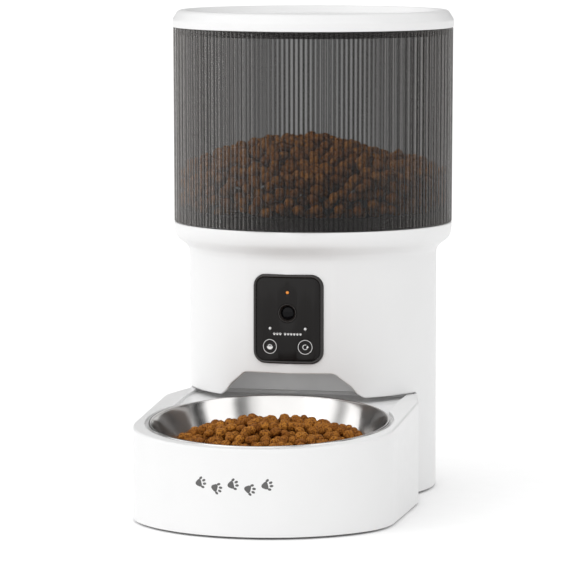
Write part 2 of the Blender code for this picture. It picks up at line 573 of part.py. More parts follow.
def make_panel():
    outline = rounded_rectangle(PANEL_HALF, PANEL_LOW, PANEL_HIGH, PANEL_CORNER)
    frame = curved_plate("panel_frame", outline, 0.0806, BODY_R + 0.0008, "black_gloss")
    opening = rounded_rectangle(PANEL_HALF - PANEL_LIP, PANEL_LOW + PANEL_LIP, PANEL_HIGH - PANEL_LIP,
                                PANEL_CORNER - PANEL_LIP)
    cut(frame, prism("frame_opening", opening, -0.10, -0.05, along="Y"))
    inset = PANEL_LIP + GAP
    outline = rounded_rectangle(PANEL_HALF - inset, PANEL_LOW + inset, PANEL_HIGH - inset, PANEL_CORNER - inset)
    face = curved_plate("panel_face", outline, BODY_R - 0.0023, BODY_R + 0.0001, "black_gloss")
    cut(face, rod("lens_hole", BARREL_R + GAP, (0, -0.10, LENS_Z), (0, -0.07, LENS_Z), segments=SMALL))
    cut(face, rod("led_hole", LED_R + GAP, (0, -0.10, LED_Z), (0, -0.07, LED_Z), segments=8))
    for name, side in (("feed", -1), ("reset", 1)):
        angle = side * SIDE_ANGLE
        cut(face, rod(f"{name}_hole", BUTTON_R + 0.0003, front_point(angle, 0.095, BUTTON_Z),
                      front_point(angle, 0.075, BUTTON_Z), segments=SMALL))
        rod(f"{name}_button", BUTTON_R, front_point(angle, BODY_R, BUTTON_Z),
            front_point(angle, BUTTON_BACK, BUTTON_Z), "black", segments=SMALL)
        cut(face, rod(f"{name}_dot_hole", DOT_R + GAP, front_point(angle, 0.095, DOT_Z),
                      front_point(angle, 0.075, DOT_Z), segments=8))
        rod(f"{name}_indicator", DOT_R, front_point(angle, BODY_R + 0.0002, DOT_Z),
            front_point(angle, 0.0800, DOT_Z), "pouch", segments=8)
    rod("status_led", LED_R, (0, -0.0841, LED_Z), (0, -0.0800, LED_Z), "amber", segments=8)
    barrel = rod("camera_barrel", BARREL_R, (0, -0.0842, LENS_Z), (0, -BARREL_BACK, LENS_Z), "black_gloss",
                 segments=SMALL)
    cut(barrel, rod("barrel_bore", LENS_R + GAP, (0, -0.0900, LENS_Z), (0, -0.0700, LENS_Z), segments=SMALL))
    lens = [(0.0, 0.0), (LENS_R, 0.0), (LENS_R, 0.0034), (0.0032, 0.0042), (0.0017, 0.0047), (0.0, 0.0049)]
    dome = lathe("camera_lens", lens, "glass", SMALL, (0.0, AXIS_Y - BARREL_BACK))
    dome.rotation_euler = (math.pi / 2, 0.0, 0.0)
    dome.location.z = LENS_Z


# ---- tray and bowl ----------------------------------------------------------------------------------
def tray_outline(inset=0.0):
    """Plan of the tray: front arc, side fillets, sides, and tails that run in to the tower."""
    radius = TRAY_ARC_R - inset
    fillet = TRAY_FILLET - inset
    fillet_x = TRAY_HALF - TRAY_FILLET
    fillet_y = TRAY_ARC_Y - math.sqrt((TRAY_ARC_R - TRAY_FILLET) ** 2 - fillet_x ** 2)
    meet = math.atan2(fillet_x, TRAY_ARC_Y - fillet_y)
    half = []
    for step in range(9):
        angle = meet * step / 8
        half.append((radius * math.sin(angle), TRAY_ARC_Y - radius * math.cos(angle)))
    for step in range(1, 5):
        angle = meet + (math.pi / 2 - meet) * step / 4
        half.append((fillet_x + fillet * math.sin(angle), fillet_y - fillet * math.cos(angle)))
    half += [(TRAY_REAR_HALF - inset, TRAY_SHOULDER_Y - 0.0020),
             (TRAY_REAR_HALF - 0.0006 - inset, TRAY_SHOULDER_Y),
             (TRAY_TAIL_HALF - inset, TRAY_BACK_Y - inset)]
    return half + [(-x, y) for x, y in reversed(half[1:])]


def rim_height(y, drop=0.0):
    return min(RIM_FRONT_Z + RIM_SLOPE * (y - TRAY_ARC_Y + TRAY_ARC_R), TRAY_TOP) - drop


def above_rim(name, drop):
    """Everything above the tray's sloping top, lowered by drop."""
    bend = TRAY_ARC_Y - TRAY_ARC_R + (TRAY_TOP - RIM_FRONT_Z) / RIM_SLOPE
    profile = [(-0.30, rim_height(-0.30, drop)), (bend, TRAY_TOP - drop), (0.05, TRAY_TOP - drop),
               (0.05, 0.15), (-0.30, 0.15)]
    return prism(name, profile, -0.12, 0.12, along="X")


def tilt(obj):
    """Stands an object made about the tower's axis on the bowl's tilted axis."""
    obj.location = (0.0, AXIS_Y + BOWL_Y, rim_height(BOWL_Y))
    obj.rotation_euler = (math.atan(RIM_SLOPE), 0.0, 0.0)
    return obj


def disc(name, radius, low, high, segments=FINE):
    return lathe(name, [(0.0, low), (radius, low), (radius, high), (0.0, high)], segments=segments)


def make_tray():
    tray = prism("tray", tray_outline(), FOOT_GAP, 0.0800, "white")
    cut(tray, above_rim("tray_top", 0.0))
    hollow = prism("tray_hollow", tray_outline(0.0025), -0.02, 0.0800)
    cut(hollow, above_rim("hollow_top", RIM_DEPTH + 0.0030))
    cut(hollow, tilt(disc("well_wall", WELL_R + 0.0020, -0.0300, 0.0500)))
    cut(tray, hollow)
    cut(tray, tilt(disc("bowl_seat", SEAT_R, -RIM_DEPTH, 0.0300)))
    cut(tray, tilt(disc("bowl_well", WELL_R, -0.0900, 0.0300)))
    seat_meets = TRAY_ARC_Y - TRAY_ARC_R + (TRAY_DECK_Z + RIM_DEPTH - RIM_FRONT_Z) / RIM_SLOPE
    deck_front = BOWL_Y + math.sqrt(SEAT_R ** 2 - DECK_HALF ** 2) - 0.0010
    deck_floor = RIM_FRONT_Z + RIM_SLOPE * (deck_front - TRAY_ARC_Y + TRAY_ARC_R) - RIM_DEPTH
    step = [(deck_front, deck_floor), (seat_meets, TRAY_DECK_Z), (TRAY_BACK_Y - REAR_LIP, TRAY_DECK_Z),
            (TRAY_BACK_Y - REAR_LIP, 0.10), (deck_front, 0.10)]
    cut(tray, prism("rear_deck", step, -DECK_HALF, DECK_HALF, along="X"))
    for side in (-1, 1):
        low_x, high_x = sorted((side * LUG_NEAR, side * LUG_FAR))
        join(tray, box(f"lug_{side}", (low_x, TRAY_BACK_Y - 0.0020, LUG_LOW), (high_x, -0.0266, LUG_HIGH)))
    floor = prism("tray_floor", tray_outline(0.0028), PLATE_LOW, 0.0035, "black")
    for index, (x, y) in enumerate(((0.055, -0.180), (-0.055, -0.180), (0.066, -0.048), (-0.066, -0.048))):
        rod(f"tray_foot_{index + 1}", FOOT_R, (x, y, 0.0), (x, y, 0.0026), "silicone", segments=TINY)
        cut(floor, rod(f"tray_foot_pocket_{index}", FOOT_POCKET_R, (x, y, -0.01), (x, y, 0.0029), segments=TINY))


def make_bowl():
    wall = [
        (0.0778, 0.0), (BOWL_RIM_R, -0.0006), (BOWL_RIM_R, -0.0018), (0.0778, -0.0023), (0.0766, -0.0021),
        (0.0729, -0.0103), (0.0668, -0.0239), (0.0628, -0.0305), (0.0575, -0.0358), (0.0503, -0.0393),
        (0.0402, -0.0405), (0.0, -0.0405), (0.0, -0.0398), (0.0400, -0.0398), (0.0500, -0.0386),
        (0.0570, -0.0352), (0.0622, -0.0300), (0.0662, -0.0235), (0.0722, -0.0100), (0.0763, -0.0007),
        (0.0769, 0.0),
    ]
    tilt(lathe("bowl", wall, "steel", MEDIUM))


def main():
    clear_scene()
    make_lid()
    make_tank()
    make_food_wheel()
    make_housing()
    make_base()
    make_deck()
    make_gearbox()
    make_chute()
    make_electronics()
    make_panel()
    make_tray()
    make_bowl()


main()
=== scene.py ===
import json
import random
from math import acos, asin, atan, atan2, cos, dist, floor, hypot, pi, radians, sin, sqrt, tan, tau

import bmesh
import bpy
import numpy as np
from mathutils import Matrix, Vector

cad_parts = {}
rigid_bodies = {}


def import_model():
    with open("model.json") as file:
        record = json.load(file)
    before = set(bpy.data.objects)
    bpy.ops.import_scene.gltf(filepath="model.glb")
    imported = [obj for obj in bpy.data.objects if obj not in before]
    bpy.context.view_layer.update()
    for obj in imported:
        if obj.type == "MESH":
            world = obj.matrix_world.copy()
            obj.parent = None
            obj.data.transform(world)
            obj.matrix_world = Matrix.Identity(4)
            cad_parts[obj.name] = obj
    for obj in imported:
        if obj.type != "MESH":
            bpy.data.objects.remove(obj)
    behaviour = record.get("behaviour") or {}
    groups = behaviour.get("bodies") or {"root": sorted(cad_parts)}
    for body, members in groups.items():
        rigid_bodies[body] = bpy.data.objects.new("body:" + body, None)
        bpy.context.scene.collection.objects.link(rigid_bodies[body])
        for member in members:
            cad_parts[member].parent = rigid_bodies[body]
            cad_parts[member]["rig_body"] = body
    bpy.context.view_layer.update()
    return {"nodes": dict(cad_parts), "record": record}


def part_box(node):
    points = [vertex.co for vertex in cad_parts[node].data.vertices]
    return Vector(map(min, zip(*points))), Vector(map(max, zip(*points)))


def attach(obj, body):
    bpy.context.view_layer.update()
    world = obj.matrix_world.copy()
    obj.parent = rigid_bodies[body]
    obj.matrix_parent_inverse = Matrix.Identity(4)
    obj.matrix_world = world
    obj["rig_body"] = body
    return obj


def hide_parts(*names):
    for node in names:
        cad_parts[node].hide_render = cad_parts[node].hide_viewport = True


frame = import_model()

# ---- dimensions, as in the CAD model ----
AXIS_Y = 0.0657                  # the tower's axis
TOWER_FOOT = Vector((0.0, AXIS_Y, 0.0))
GAP = 0.0003
FOOT_GAP = 0.0015
WALL = 0.0022

LID_R = 0.0950
LID_BOTTOM = 0.3125
LID_TOP = 0.3240
TANK_TOP_R = 0.0946
TANK_LOW_R = 0.0941
TANK_LOW = 0.1815
BAND_TOP = 0.1904

BODY_R = 0.0838
FLARE = ((0.1610, 0.0838), (0.1634, 0.0845), (0.1655, 0.0858), (0.1675, 0.0882),
         (0.1696, 0.0909), (0.1716, 0.0926), (0.1745, 0.0936), (0.1780, 0.0941))
OVERHANG = 0.0697
NOTCH_FACE = -0.0314             # measured from the tower's axis, as the lines below are
CEILING = 0.0885
ARCH_TOP = 0.0865
ARCH_HALF = 0.0280
ARCH_FOOT = 0.0495

PANEL_HALF = 0.0234
PANEL_LOW = 0.0934
PANEL_HIGH = 0.1522
PANEL_CORNER = 0.0080
PANEL_LIP = 0.0017
LENS_Z = 0.1268
LED_Z = 0.1405
DOT_Z = 0.1165
BUTTON_Z = 0.1045
SIDE_ANGLE = radians(8.15)
BUTTON_R = 0.0049

TRAY_ARC_R = 0.0917
TRAY_ARC_Y = -0.1347
TRAY_FILLET = 0.0580
TRAY_HALF = 0.0852
TRAY_REAR_HALF = 0.0860
TRAY_SHOULDER_Y = -0.0700
TRAY_TAIL_HALF = 0.0777
TRAY_BACK_Y = NOTCH_FACE - GAP
TRAY_TOP = 0.0690
RIM_FRONT_Z = 0.0572
RIM_SLOPE = 0.0752
RIM_DEPTH = 0.0026
BOWL_Y = -0.1393
SEAT_R = 0.0806
WELL_R = 0.0770
DECK_HALF = 0.0720
REAR_LIP = 0.0028
TRAY_DECK_Z = 0.0666

RIBS = 180                       # reeds round the tank
RIB_DEPTH = 0.00042
STEPS_PER_RIB = 8

CAP_BACK = 0.0797                # panel pieces start this far from the tower's axis
CAP_FACE = 0.0042
DOT_BACK = 0.0800
LENS_BACK = 0.0788
LENS_R = 0.0043
LEGEND_Z = 0.1130
FRONT_PAWS_X = -0.0259
FRONT_PAWS_STEP = 0.0108
FRONT_PAWS_Z = 0.0334

SOUND_STEP = 0.0042
INLET_R = 0.0052
INLET_Z = 0.0200

FOOD_SEED = 20417
FUNNEL_Z = 0.1780
FUNNEL_R = 0.0460
HEAP_X = 0.017                   # the heap in the tank is highest this far left of the axis
HEAP_TOP = 0.2365
HEAP_FLAT = 0.025
HEAP_SKIN = 0.011
TANK_PELLET = 0.0040             # half the size of a piece of food
TANK_SPACING = 0.0069
BOWL_PELLET = 0.0035
BOWL_SPACING = 0.0057
MOUND_R = 0.060
MOUND_SKIN = 0.010

LENS_MM = 237.3
CAMERA_AT = (0.5207, -2.4505, 0.4110)
CAMERA_BACK = (0.20794, -0.97229, 0.10686)
BRIGHT_FROM = (-0.70, -0.53, 0.48)
ROOM_LOW, ROOM_HIGH = 0.58, 1.35
ROOM_SEEN = (1.05, 1.05, 1.05)


# ---- node materials ----
def blank(name):
    material = bpy.data.materials.new(name)
    material.use_nodes = True
    tree = material.node_tree
    return material, tree, tree.nodes["Principled BSDF"]


def add_node(tree, kind, **values):
    """A new node with some of its sockets set: an underscore in a name stands for a space."""
    node = tree.nodes.new(f"ShaderNode{kind}")
    for socket, value in values.items():
        node.inputs[socket.replace("_", " ")].default_value = value
    return node


def feed(tree, source, node, socket):
    tree.links.new(source, node.inputs[socket])


def coordinates(tree, stretch=None):
    source = add_node(tree, "TexCoord").outputs["Object"]
    if stretch is None:
        return source
    mapping = add_node(tree, "Mapping", Scale=stretch)
    feed(tree, source, mapping, "Vector")
    return mapping.outputs["Vector"]


def noise(tree, scale, detail=2.0, stretch=None):
    texture = add_node(tree, "TexNoise", Scale=scale, Detail=detail)
    feed(tree, coordinates(tree, stretch), texture, "Vector")
    return texture.outputs["Fac"]


def cells(tree, scale, feature="F1"):
    texture = add_node(tree, "TexVoronoi", Scale=scale)
    texture.feature = feature
    feed(tree, coordinates(tree), texture, "Vector")
    return texture.outputs["Distance"]


def spread(tree, source, low, high, start=0.3, end=0.7, kind="SMOOTHSTEP"):
    """Turns the range from start to end into the range from low to high."""
    node = add_node(tree, "MapRange", From_Min=start, From_Max=end, To_Min=low, To_Max=high)
    node.interpolation_type = kind
    feed(tree, source, node, "Value")
    return node.outputs["Result"]


def split_axes(tree, vector):
    node = add_node(tree, "SeparateXYZ")
    feed(tree, vector, node, "Vector")
    return node.outputs["X"], node.outputs["Y"]


def calculate(tree, operation, first, second=0.0):
    node = add_node(tree, "Math")
    node.operation = operation
    for socket, value in zip(node.inputs, (first, second)):
        if isinstance(value, (int, float)):
            socket.default_value = value
        else:
            tree.links.new(value, socket)
    return node.outputs["Value"]


def times(tree, first, second):
    return calculate(tree, "MULTIPLY", first, second)


def plus(tree, first, second):
    return calculate(tree, "ADD", first, second)


def blend(tree, factor, first, second):
    node = add_node(tree, "Mix")
    node.data_type = "RGBA"
    tree.links.new(factor, node.inputs[0])
    for socket, value in ((node.inputs[6], first), (node.inputs[7], second)):
        if isinstance(value, tuple):
            socket.default_value = (*value, 1.0)
        else:
            tree.links.new(value, socket)
    return node.outputs[2]


def bump(tree, shader, height, distance, after=None):
    node = add_node(tree, "Bump", Strength=1.0, Distance=distance)
    feed(tree, height, node, "Height")
    if after is not None:
        feed(tree, after, node, "Normal")
    feed(tree, node.outputs["Normal"], shader, "Normal")
    return node.outputs["Normal"]


def toned(colour, amount):
    return tuple(min(1.0, channel * amount) for channel in colour)


def moulded(name, colour, roughness, tone=0.02, vary=0.05, grain=3000.0, depth=0.000012, **sockets):
    """A moulded or cast surface: slight tone drift, uneven gloss and a fine grain."""
    material, tree, shader = blank(name)
    drift = spread(tree, noise(tree, 35.0, 3.0), 0.0, 1.0)
    feed(tree, blend(tree, drift, toned(colour, 1 - tone), toned(colour, 1 + tone)), shader, "Base Color")
    patches = spread(tree, noise(tree, 160.0, 4.0), roughness - vary, roughness + vary)
    feed(tree, patches, shader, "Roughness")
    bump(tree, shader, noise(tree, grain, 2.0), depth)
    for socket, value in sockets.items():
        shader.inputs[socket.replace("_", " ")].default_value = value
    return material, tree, shader


def make_steel():
    """Spun and polished stainless steel: fine rings round the bowl's own axis."""
    material, tree, shader = moulded("stainless", (0.64, 0.63, 0.62), 0.15, tone=0.02, vary=0.03,
                                     Metallic=1.0, Anisotropic=0.60, Anisotropic_Rotation=0.25)
    tangent = add_node(tree, "Tangent")
    tangent.direction_type = "RADIAL"
    tangent.axis = "Z"
    feed(tree, tangent.outputs["Tangent"], shader, "Tangent")
    rings = add_node(tree, "TexWave", Scale=420.0, Distortion=1.5, Detail=3.0, Detail_Scale=2.0)
    rings.wave_type = "RINGS"
    rings.rings_direction = "Z"
    feed(tree, coordinates(tree), rings, "Vector")
    bump(tree, shader, rings.outputs["Fac"], 0.0000015)
    return material


def make_kibble():
    """Extruded dry food: toasted brown, a little darker in its pits and from piece to piece."""
    material, tree, shader = blank("kibble")
    tone = add_node(tree, "Attribute")
    tone.attribute_name = "toast"
    base = blend(tree, tone.outputs["Fac"], (0.275, 0.094, 0.012), (0.510, 0.205, 0.028))
    crumbs = spread(tree, noise(tree, 900.0, 5.0), 0.0, 1.0, 0.32, 0.62)
    coloured = blend(tree, crumbs, (0.120, 0.035, 0.004), base)
    flecks = spread(tree, noise(tree, 2600.0, 2.0), 0.0, 0.55, 0.60, 0.75)
    feed(tree, blend(tree, flecks, coloured, (0.56, 0.25, 0.05)), shader, "Base Color")
    feed(tree, spread(tree, noise(tree, 700.0, 3.0), 0.55, 0.80), shader, "Roughness")
    shader.inputs["Specular IOR Level"].default_value = 0.15
    rough = bump(tree, shader, noise(tree, 1100.0, 5.0), 0.0006)
    bump(tree, shader, cells(tree, 1500.0), 0.00018, after=rough)
    return material


def make_board():
    """Green board with copper traces under its lacquer."""
    material, tree, shader = moulded("board", (0.02, 0.12, 0.05), 0.38, tone=0.1)
    drift = shader.inputs["Base Color"].links[0].from_socket
    traces = spread(tree, cells(tree, 330.0, "DISTANCE_TO_EDGE"), 1.0, 0.0, 0.04, 0.07)
    feed(tree, blend(tree, traces, drift, (0.07, 0.24, 0.10)), shader, "Base Color")
    return material


def make_cell():
    """Printed cell wrap, dark with a copper shoulder."""
    material, tree, shader = moulded("cell", (0.03, 0.03, 0.035), 0.28, tone=0.1)
    drift = shader.inputs["Base Color"].links[0].from_socket
    shoulder = spread(tree, split_axes(tree, coordinates(tree))[1], 0.0, 1.0, 0.0850, 0.0854)
    feed(tree, blend(tree, shoulder, drift, (0.52, 0.25, 0.10)), shader, "Base Color")
    return material


def make_pouch():
    """Paper pouch: crossed fibres."""
    material, tree, shader = moulded("pouch", (0.78, 0.77, 0.74), 0.85, tone=0.04)
    along = noise(tree, 900.0, 3.0, (1.0, 0.12, 1.0))
    across = noise(tree, 900.0, 3.0, (0.12, 1.0, 1.0))
    bump(tree, shader, calculate(tree, "MAXIMUM", along, across), 0.0001)
    return material


def make_tank_material():
    """Smoked clear plastic: each reed's valley is denser and darker, and the crests are paler; where the wall
    turns away from the view, their paleness is a painted highlight that stands for reflections of the bright
    room.

    Where the wall turns away from the view, every second reed carries the stripe.
    """
    material, tree, shader = blank("smoked")
    x, y = split_axes(tree, coordinates(tree))
    across = calculate(tree, "SUBTRACT", AXIS_Y, y)
    place = times(tree, calculate(tree, "ARCTAN2", x, across), RIBS / tau)
    turned_away = add_node(tree, "LayerWeight", Blend=0.35).outputs["Facing"]

    def crests(reeds):
        return calculate(tree, "ABSOLUTE", calculate(tree, "SINE", times(tree, place, pi / reeds)))

    side = spread(tree, turned_away, 0.0, 1.0, 0.15, 0.35)
    front = calculate(tree, "SUBTRACT", 1.0, side)
    swing = plus(tree, times(tree, crests(1), front), times(tree, crests(2), side))
    valley = spread(tree, swing, 1.0, 0.0, 0.15, 0.90)
    drift = spread(tree, noise(tree, 40.0, 3.0, (1.0, 1.0, 0.15)), 0.35, 0.38)
    stripe = times(tree, valley, plus(tree, 0.30, times(tree, side, 0.25)))
    density = plus(tree, plus(tree, drift, stripe), times(tree, turned_away, 0.25))
    feed(tree, calculate(tree, "MINIMUM", density, 0.9), shader, "Alpha")
    # painted highlight: the crests' own dark tint turns pale grey where the wall turns away from the view, in
    # place of reflections of the bright room
    crest_tint_and_painted_highlight = blend(tree, turned_away, (0.026, 0.024, 0.023), (0.300, 0.284, 0.270))
    feed(tree, blend(tree, valley, crest_tint_and_painted_highlight, (0.004, 0.003, 0.0025)), shader, "Base Color")
    gloss = spread(tree, noise(tree, 160.0, 4.0), 0.17, 0.22)
    feed(tree, plus(tree, gloss, times(tree, valley, 0.35)), shader, "Roughness")
    shader.inputs["Specular IOR Level"].default_value = 0.24
    return material


def make_amber():
    material, tree, shader = moulded("amber", (0.80, 0.28, 0.04), 0.3, tone=0.05)
    shader.inputs["Emission Color"].default_value = (1.0, 0.33, 0.06, 1.0)
    shader.inputs["Emission Strength"].default_value = 0.15
    return material


def finish(*values, **sockets):
    return moulded(*values, **sockets)[0]


FINISH = {
    "white_plastic": finish("white_abs", (0.785, 0.785, 0.785), 0.36, tone=0.006, vary=0.04, grain=2600.0,
                            depth=0.000006),
    "smoked_plastic": make_tank_material(),
    "black_plastic": finish("black_abs", (0.020, 0.019, 0.018), 0.46, tone=0.08, depth=0.00003),
    "panel_black": finish("panel_gloss", (0.0070, 0.0058, 0.0054), 0.16, tone=0.06, vary=0.03, grain=1200.0,
                          depth=0.0000015, Specular_IOR_Level=0.20),
    "stainless_steel": make_steel(),
    "machined_steel": finish("ground_steel", (0.56, 0.56, 0.57), 0.30, Metallic=1.0),
    "motor_zinc": finish("zinc_can", (0.50, 0.50, 0.52), 0.38, tone=0.06, depth=0.00002, Metallic=1.0),
    "silicone_rubber": finish("rubber", (0.040, 0.040, 0.042), 0.72, tone=0.08, depth=0.00004),
    "nylon": finish("nylon", (0.68, 0.66, 0.60), 0.48, tone=0.03, depth=0.00002,
                    Subsurface_Weight=0.1),
    "brass_fitting": finish("brass", (0.62, 0.44, 0.17), 0.30, tone=0.05, Metallic=1.0),
    "circuit_board": make_board(),
    "lens_glass": finish("lens", (0.003, 0.003, 0.004), 0.06, tone=0.2, vary=0.02, depth=0.0000005,
                         Specular_IOR_Level=0.12),
    "amber_led": make_amber(),
    "light_dot": finish("print_white", (0.80, 0.80, 0.80), 0.5, tone=0.02),
    "pouch_fabric": make_pouch(),
    "cell_wrap": make_cell(),
}
KIBBLE = make_kibble()
TRIM_BLACK = finish("trim_gloss", (0.012, 0.009, 0.008), 0.22, tone=0.06, vary=0.03, grain=1200.0,
                    depth=0.0000015, Specular_IOR_Level=0.5)
PRINT_GREY = finish("print_grey", (0.098, 0.096, 0.095), 0.5, tone=0.05)


# ---- mesh helpers ----
def rounded(corners, steps=5):
    """A closed outline of (a, b, radius) corners: each is rounded, with a support point by each end."""
    outline = []
    count = len(corners)
    for index, (a, b, radius) in enumerate(corners):
        point = Vector((a, b))
        if radius == 0:
            outline.append((a, b))
            continue
        back = Vector(corners[index - 1][:2]) - point
        on = Vector(corners[(index + 1) % count][:2]) - point
        half = back.angle(on) / 2
        reach = min(radius / tan(half), 0.46 * back.length, 0.46 * on.length)
        to_back, to_on = back.normalized(), on.normalized()
        centre = point + (to_back + to_on).normalized() * (reach / cos(half))
        start, end = point + to_back * reach, point + to_on * reach
        low = atan2(start.y - centre.y, start.x - centre.x)
        sweep = atan2(end.y - centre.y, end.x - centre.x) - low
        sweep = (sweep + pi) % tau - pi
        size = (start - centre).length
        outline.append(tuple(start + to_back * min(0.3 * reach, 0.1 * back.length)))
        for step in range(steps + 1):
            turn = low + sweep * step / steps
            outline.append((centre.x + size * cos(turn), centre.y + size * sin(turn)))
        outline.append(tuple(end + to_on * min(0.3 * reach, 0.1 * on.length)))
    return outline


def add_object(name, data):
    obj = bpy.data.objects.new(name, data)
    bpy.context.scene.collection.objects.link(obj)
    return obj


def object_from(name, bm, sharp=32.0):
    bmesh.ops.recalc_face_normals(bm, faces=bm.faces)
    mesh = bpy.data.meshes.new(name)
    bm.to_mesh(mesh)
    bm.free()
    mesh.shade_smooth()
    mesh.set_sharp_from_angle(angle=radians(sharp))
    return add_object(name, mesh)


def neighbours(loop):
    """Each item of a loop with the next one, and the last with the first."""
    return list(zip(loop, loop[1:] + loop[:1]))


def wall_between(bm, row, following):
    for (a, b), (c, d) in zip(neighbours(row), neighbours(following)):
        bm.faces.new((a, b, d, c))


def woven(name, rows, sharp=32.0):
    """A closed skin over rows of points: each row is a loop, and the last row joins the first."""
    bm = bmesh.new()
    for row, following in neighbours([[bm.verts.new(point) for point in row] for row in rows]):
        wall_between(bm, row, following)
    bmesh.ops.remove_doubles(bm, verts=bm.verts, dist=0.0000005)
    bmesh.ops.dissolve_degenerate(bm, edges=bm.edges, dist=0.0000005)
    return object_from(name, bm, sharp)


def revolve(name, profile, segments=192, centre=(0.0, AXIS_Y), sharp=32.0):
    """A closed outline of (radius, height) turned about a vertical axis."""
    turns = [tau * (step + 0.5) / segments for step in range(segments)]
    rows = [[(centre[0] + r * sin(t), centre[1] - r * cos(t), z) for t in turns] for r, z in profile]
    return woven(name, rows, sharp)


def solid_between(bm, ends):
    """Caps two matching loops of corners, and closes the wall between them."""
    ends = [[bm.verts.new(point) for point in end] for end in ends]
    for end in ends:
        bm.faces.new(end)
    wall_between(bm, *ends)


def prism(name, outline, low, high, along="Z"):
    """A flat outline round the tower's axis, pushed from low to high along one direction."""
    place = {"Y": lambda u, v, w: (u, w, v), "Z": lambda u, v, w: (u, v, w)}[along]
    bm = bmesh.new()
    solid_between(bm, [[Vector(place(u, v, w)) + TOWER_FOOT for u, v in outline] for w in (low, high)])
    return object_from(name, bm)


def block(name, low, high):
    corners = [(low[0], low[1]), (high[0], low[1]), (high[0], high[1]), (low[0], high[1])]
    return prism(name, corners, low[2], high[2])


def rod(name, radius, start, end, segments=48):
    start, end = Vector(start) + TOWER_FOOT, Vector(end) + TOWER_FOOT
    bm = bmesh.new()
    turn = (end - start).to_track_quat("Z", "Y").to_matrix().to_4x4()
    bmesh.ops.create_cone(bm, cap_ends=True, segments=segments, radius1=radius, radius2=radius,
                          depth=(end - start).length, matrix=Matrix.Translation((start + end) / 2) @ turn)
    return object_from(name, bm)


def shape(obj, operation, tools, bevel=0.0, sharp=32.0):
    """Cuts, joins or trims obj with tools, rounds its edges, and keeps the result as its mesh."""
    for tool in tools:
        modifier = obj.modifiers.new("tool", "BOOLEAN")
        modifier.operation = operation
        modifier.solver = "EXACT"
        modifier.object = tool
    if bevel:
        modifier = obj.modifiers.new("edge", "BEVEL")
        modifier.width = bevel
        modifier.segments = 3
        modifier.limit_method = "ANGLE"
        modifier.angle_limit = radians(40)
    graph = bpy.context.evaluated_depsgraph_get()
    mesh = bpy.data.meshes.new_from_object(obj.evaluated_get(graph))
    obj.modifiers.clear()
    obj.data = mesh
    mesh.shade_smooth()
    mesh.set_sharp_from_angle(angle=radians(sharp))
    for tool in tools:
        bpy.data.objects.remove(tool, do_unlink=True)
    return obj


def keep(obj, slot, body, *replaced, material=None):
    """Gives a finished piece its material and its body, and hides the CAD nodes it stands for."""
    obj.data.materials.clear()
    obj.data.materials.append(material or FINISH[slot])
    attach(obj, body)
    if replaced:
        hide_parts(*replaced)


def bearing_point(radius, bearing, y=0.0):
    """A plan point at a bearing from the front."""
    return (radius * sin(bearing), y - radius * cos(bearing))


def front_point(angle, radius, height):
    return (*bearing_point(radius, angle), height)


def round_point(radius, degrees, x=0.0, y=0.0, tall=None):
    """A point of a circle or an oval, at an angle from its right."""
    turn = radians(degrees)
    return (x + radius * cos(turn), y + (radius if tall is None else tall) * sin(turn))


def rounded_rectangle(half_width, low, high, corner, steps=10):
    points = []
    centres = ((half_width - corner, low + corner, -90), (half_width - corner, high - corner, 0),
               (corner - half_width, high - corner, 90), (corner - half_width, low + corner, 180))
    for x, z, start in centres:
        points += [round_point(corner, start + 90 * step / steps, x, z) for step in range(steps + 1)]
    return points


# ---- lid ----
def make_lid():
    dish = LID_TOP - 0.0048
    under = dish - 0.0020
    profile = rounded([
        (0.0, dish, 0), (0.0838, dish, 0.0022), (0.0862, LID_TOP, 0.0011), (0.0912, LID_TOP, 0.0038),
        (LID_R, LID_TOP - 0.0062, 0.0034), (LID_R, LID_BOTTOM, 0.0005), (0.0905, LID_BOTTOM, 0.0002),
        (0.0905, 0.3078, 0.0004), (0.0885, 0.3078, 0.0004), (0.0885, under, 0.0012), (0.0296, under, 0.0006),
        (0.0296, under - 0.0050, 0.0004), (0.0276, under - 0.0050, 0.0004), (0.0276, under, 0.0004),
        (0.0, under, 0)])
    keep(revolve("lid_shell", profile, 256), "white_plastic", "lid", "lid")
    lips = []
    for z in (0.3084, 0.3096, 0.3108):
        lips += [(0.0914, z, 0.0002), (0.0921, z + 0.0004, 0.0002), (0.0914, z + 0.0008, 0.0002)]
    seal = rounded([(0.0908, 0.3078, 0.0002), (0.0914, 0.3078, 0.0002), *lips,
                    (0.0914, 0.3121, 0.0002), (0.0908, 0.3121, 0.0002)], 2)
    keep(revolve("lid_gasket", seal, 192), "silicone_rubber", "lid", "lid_seal")


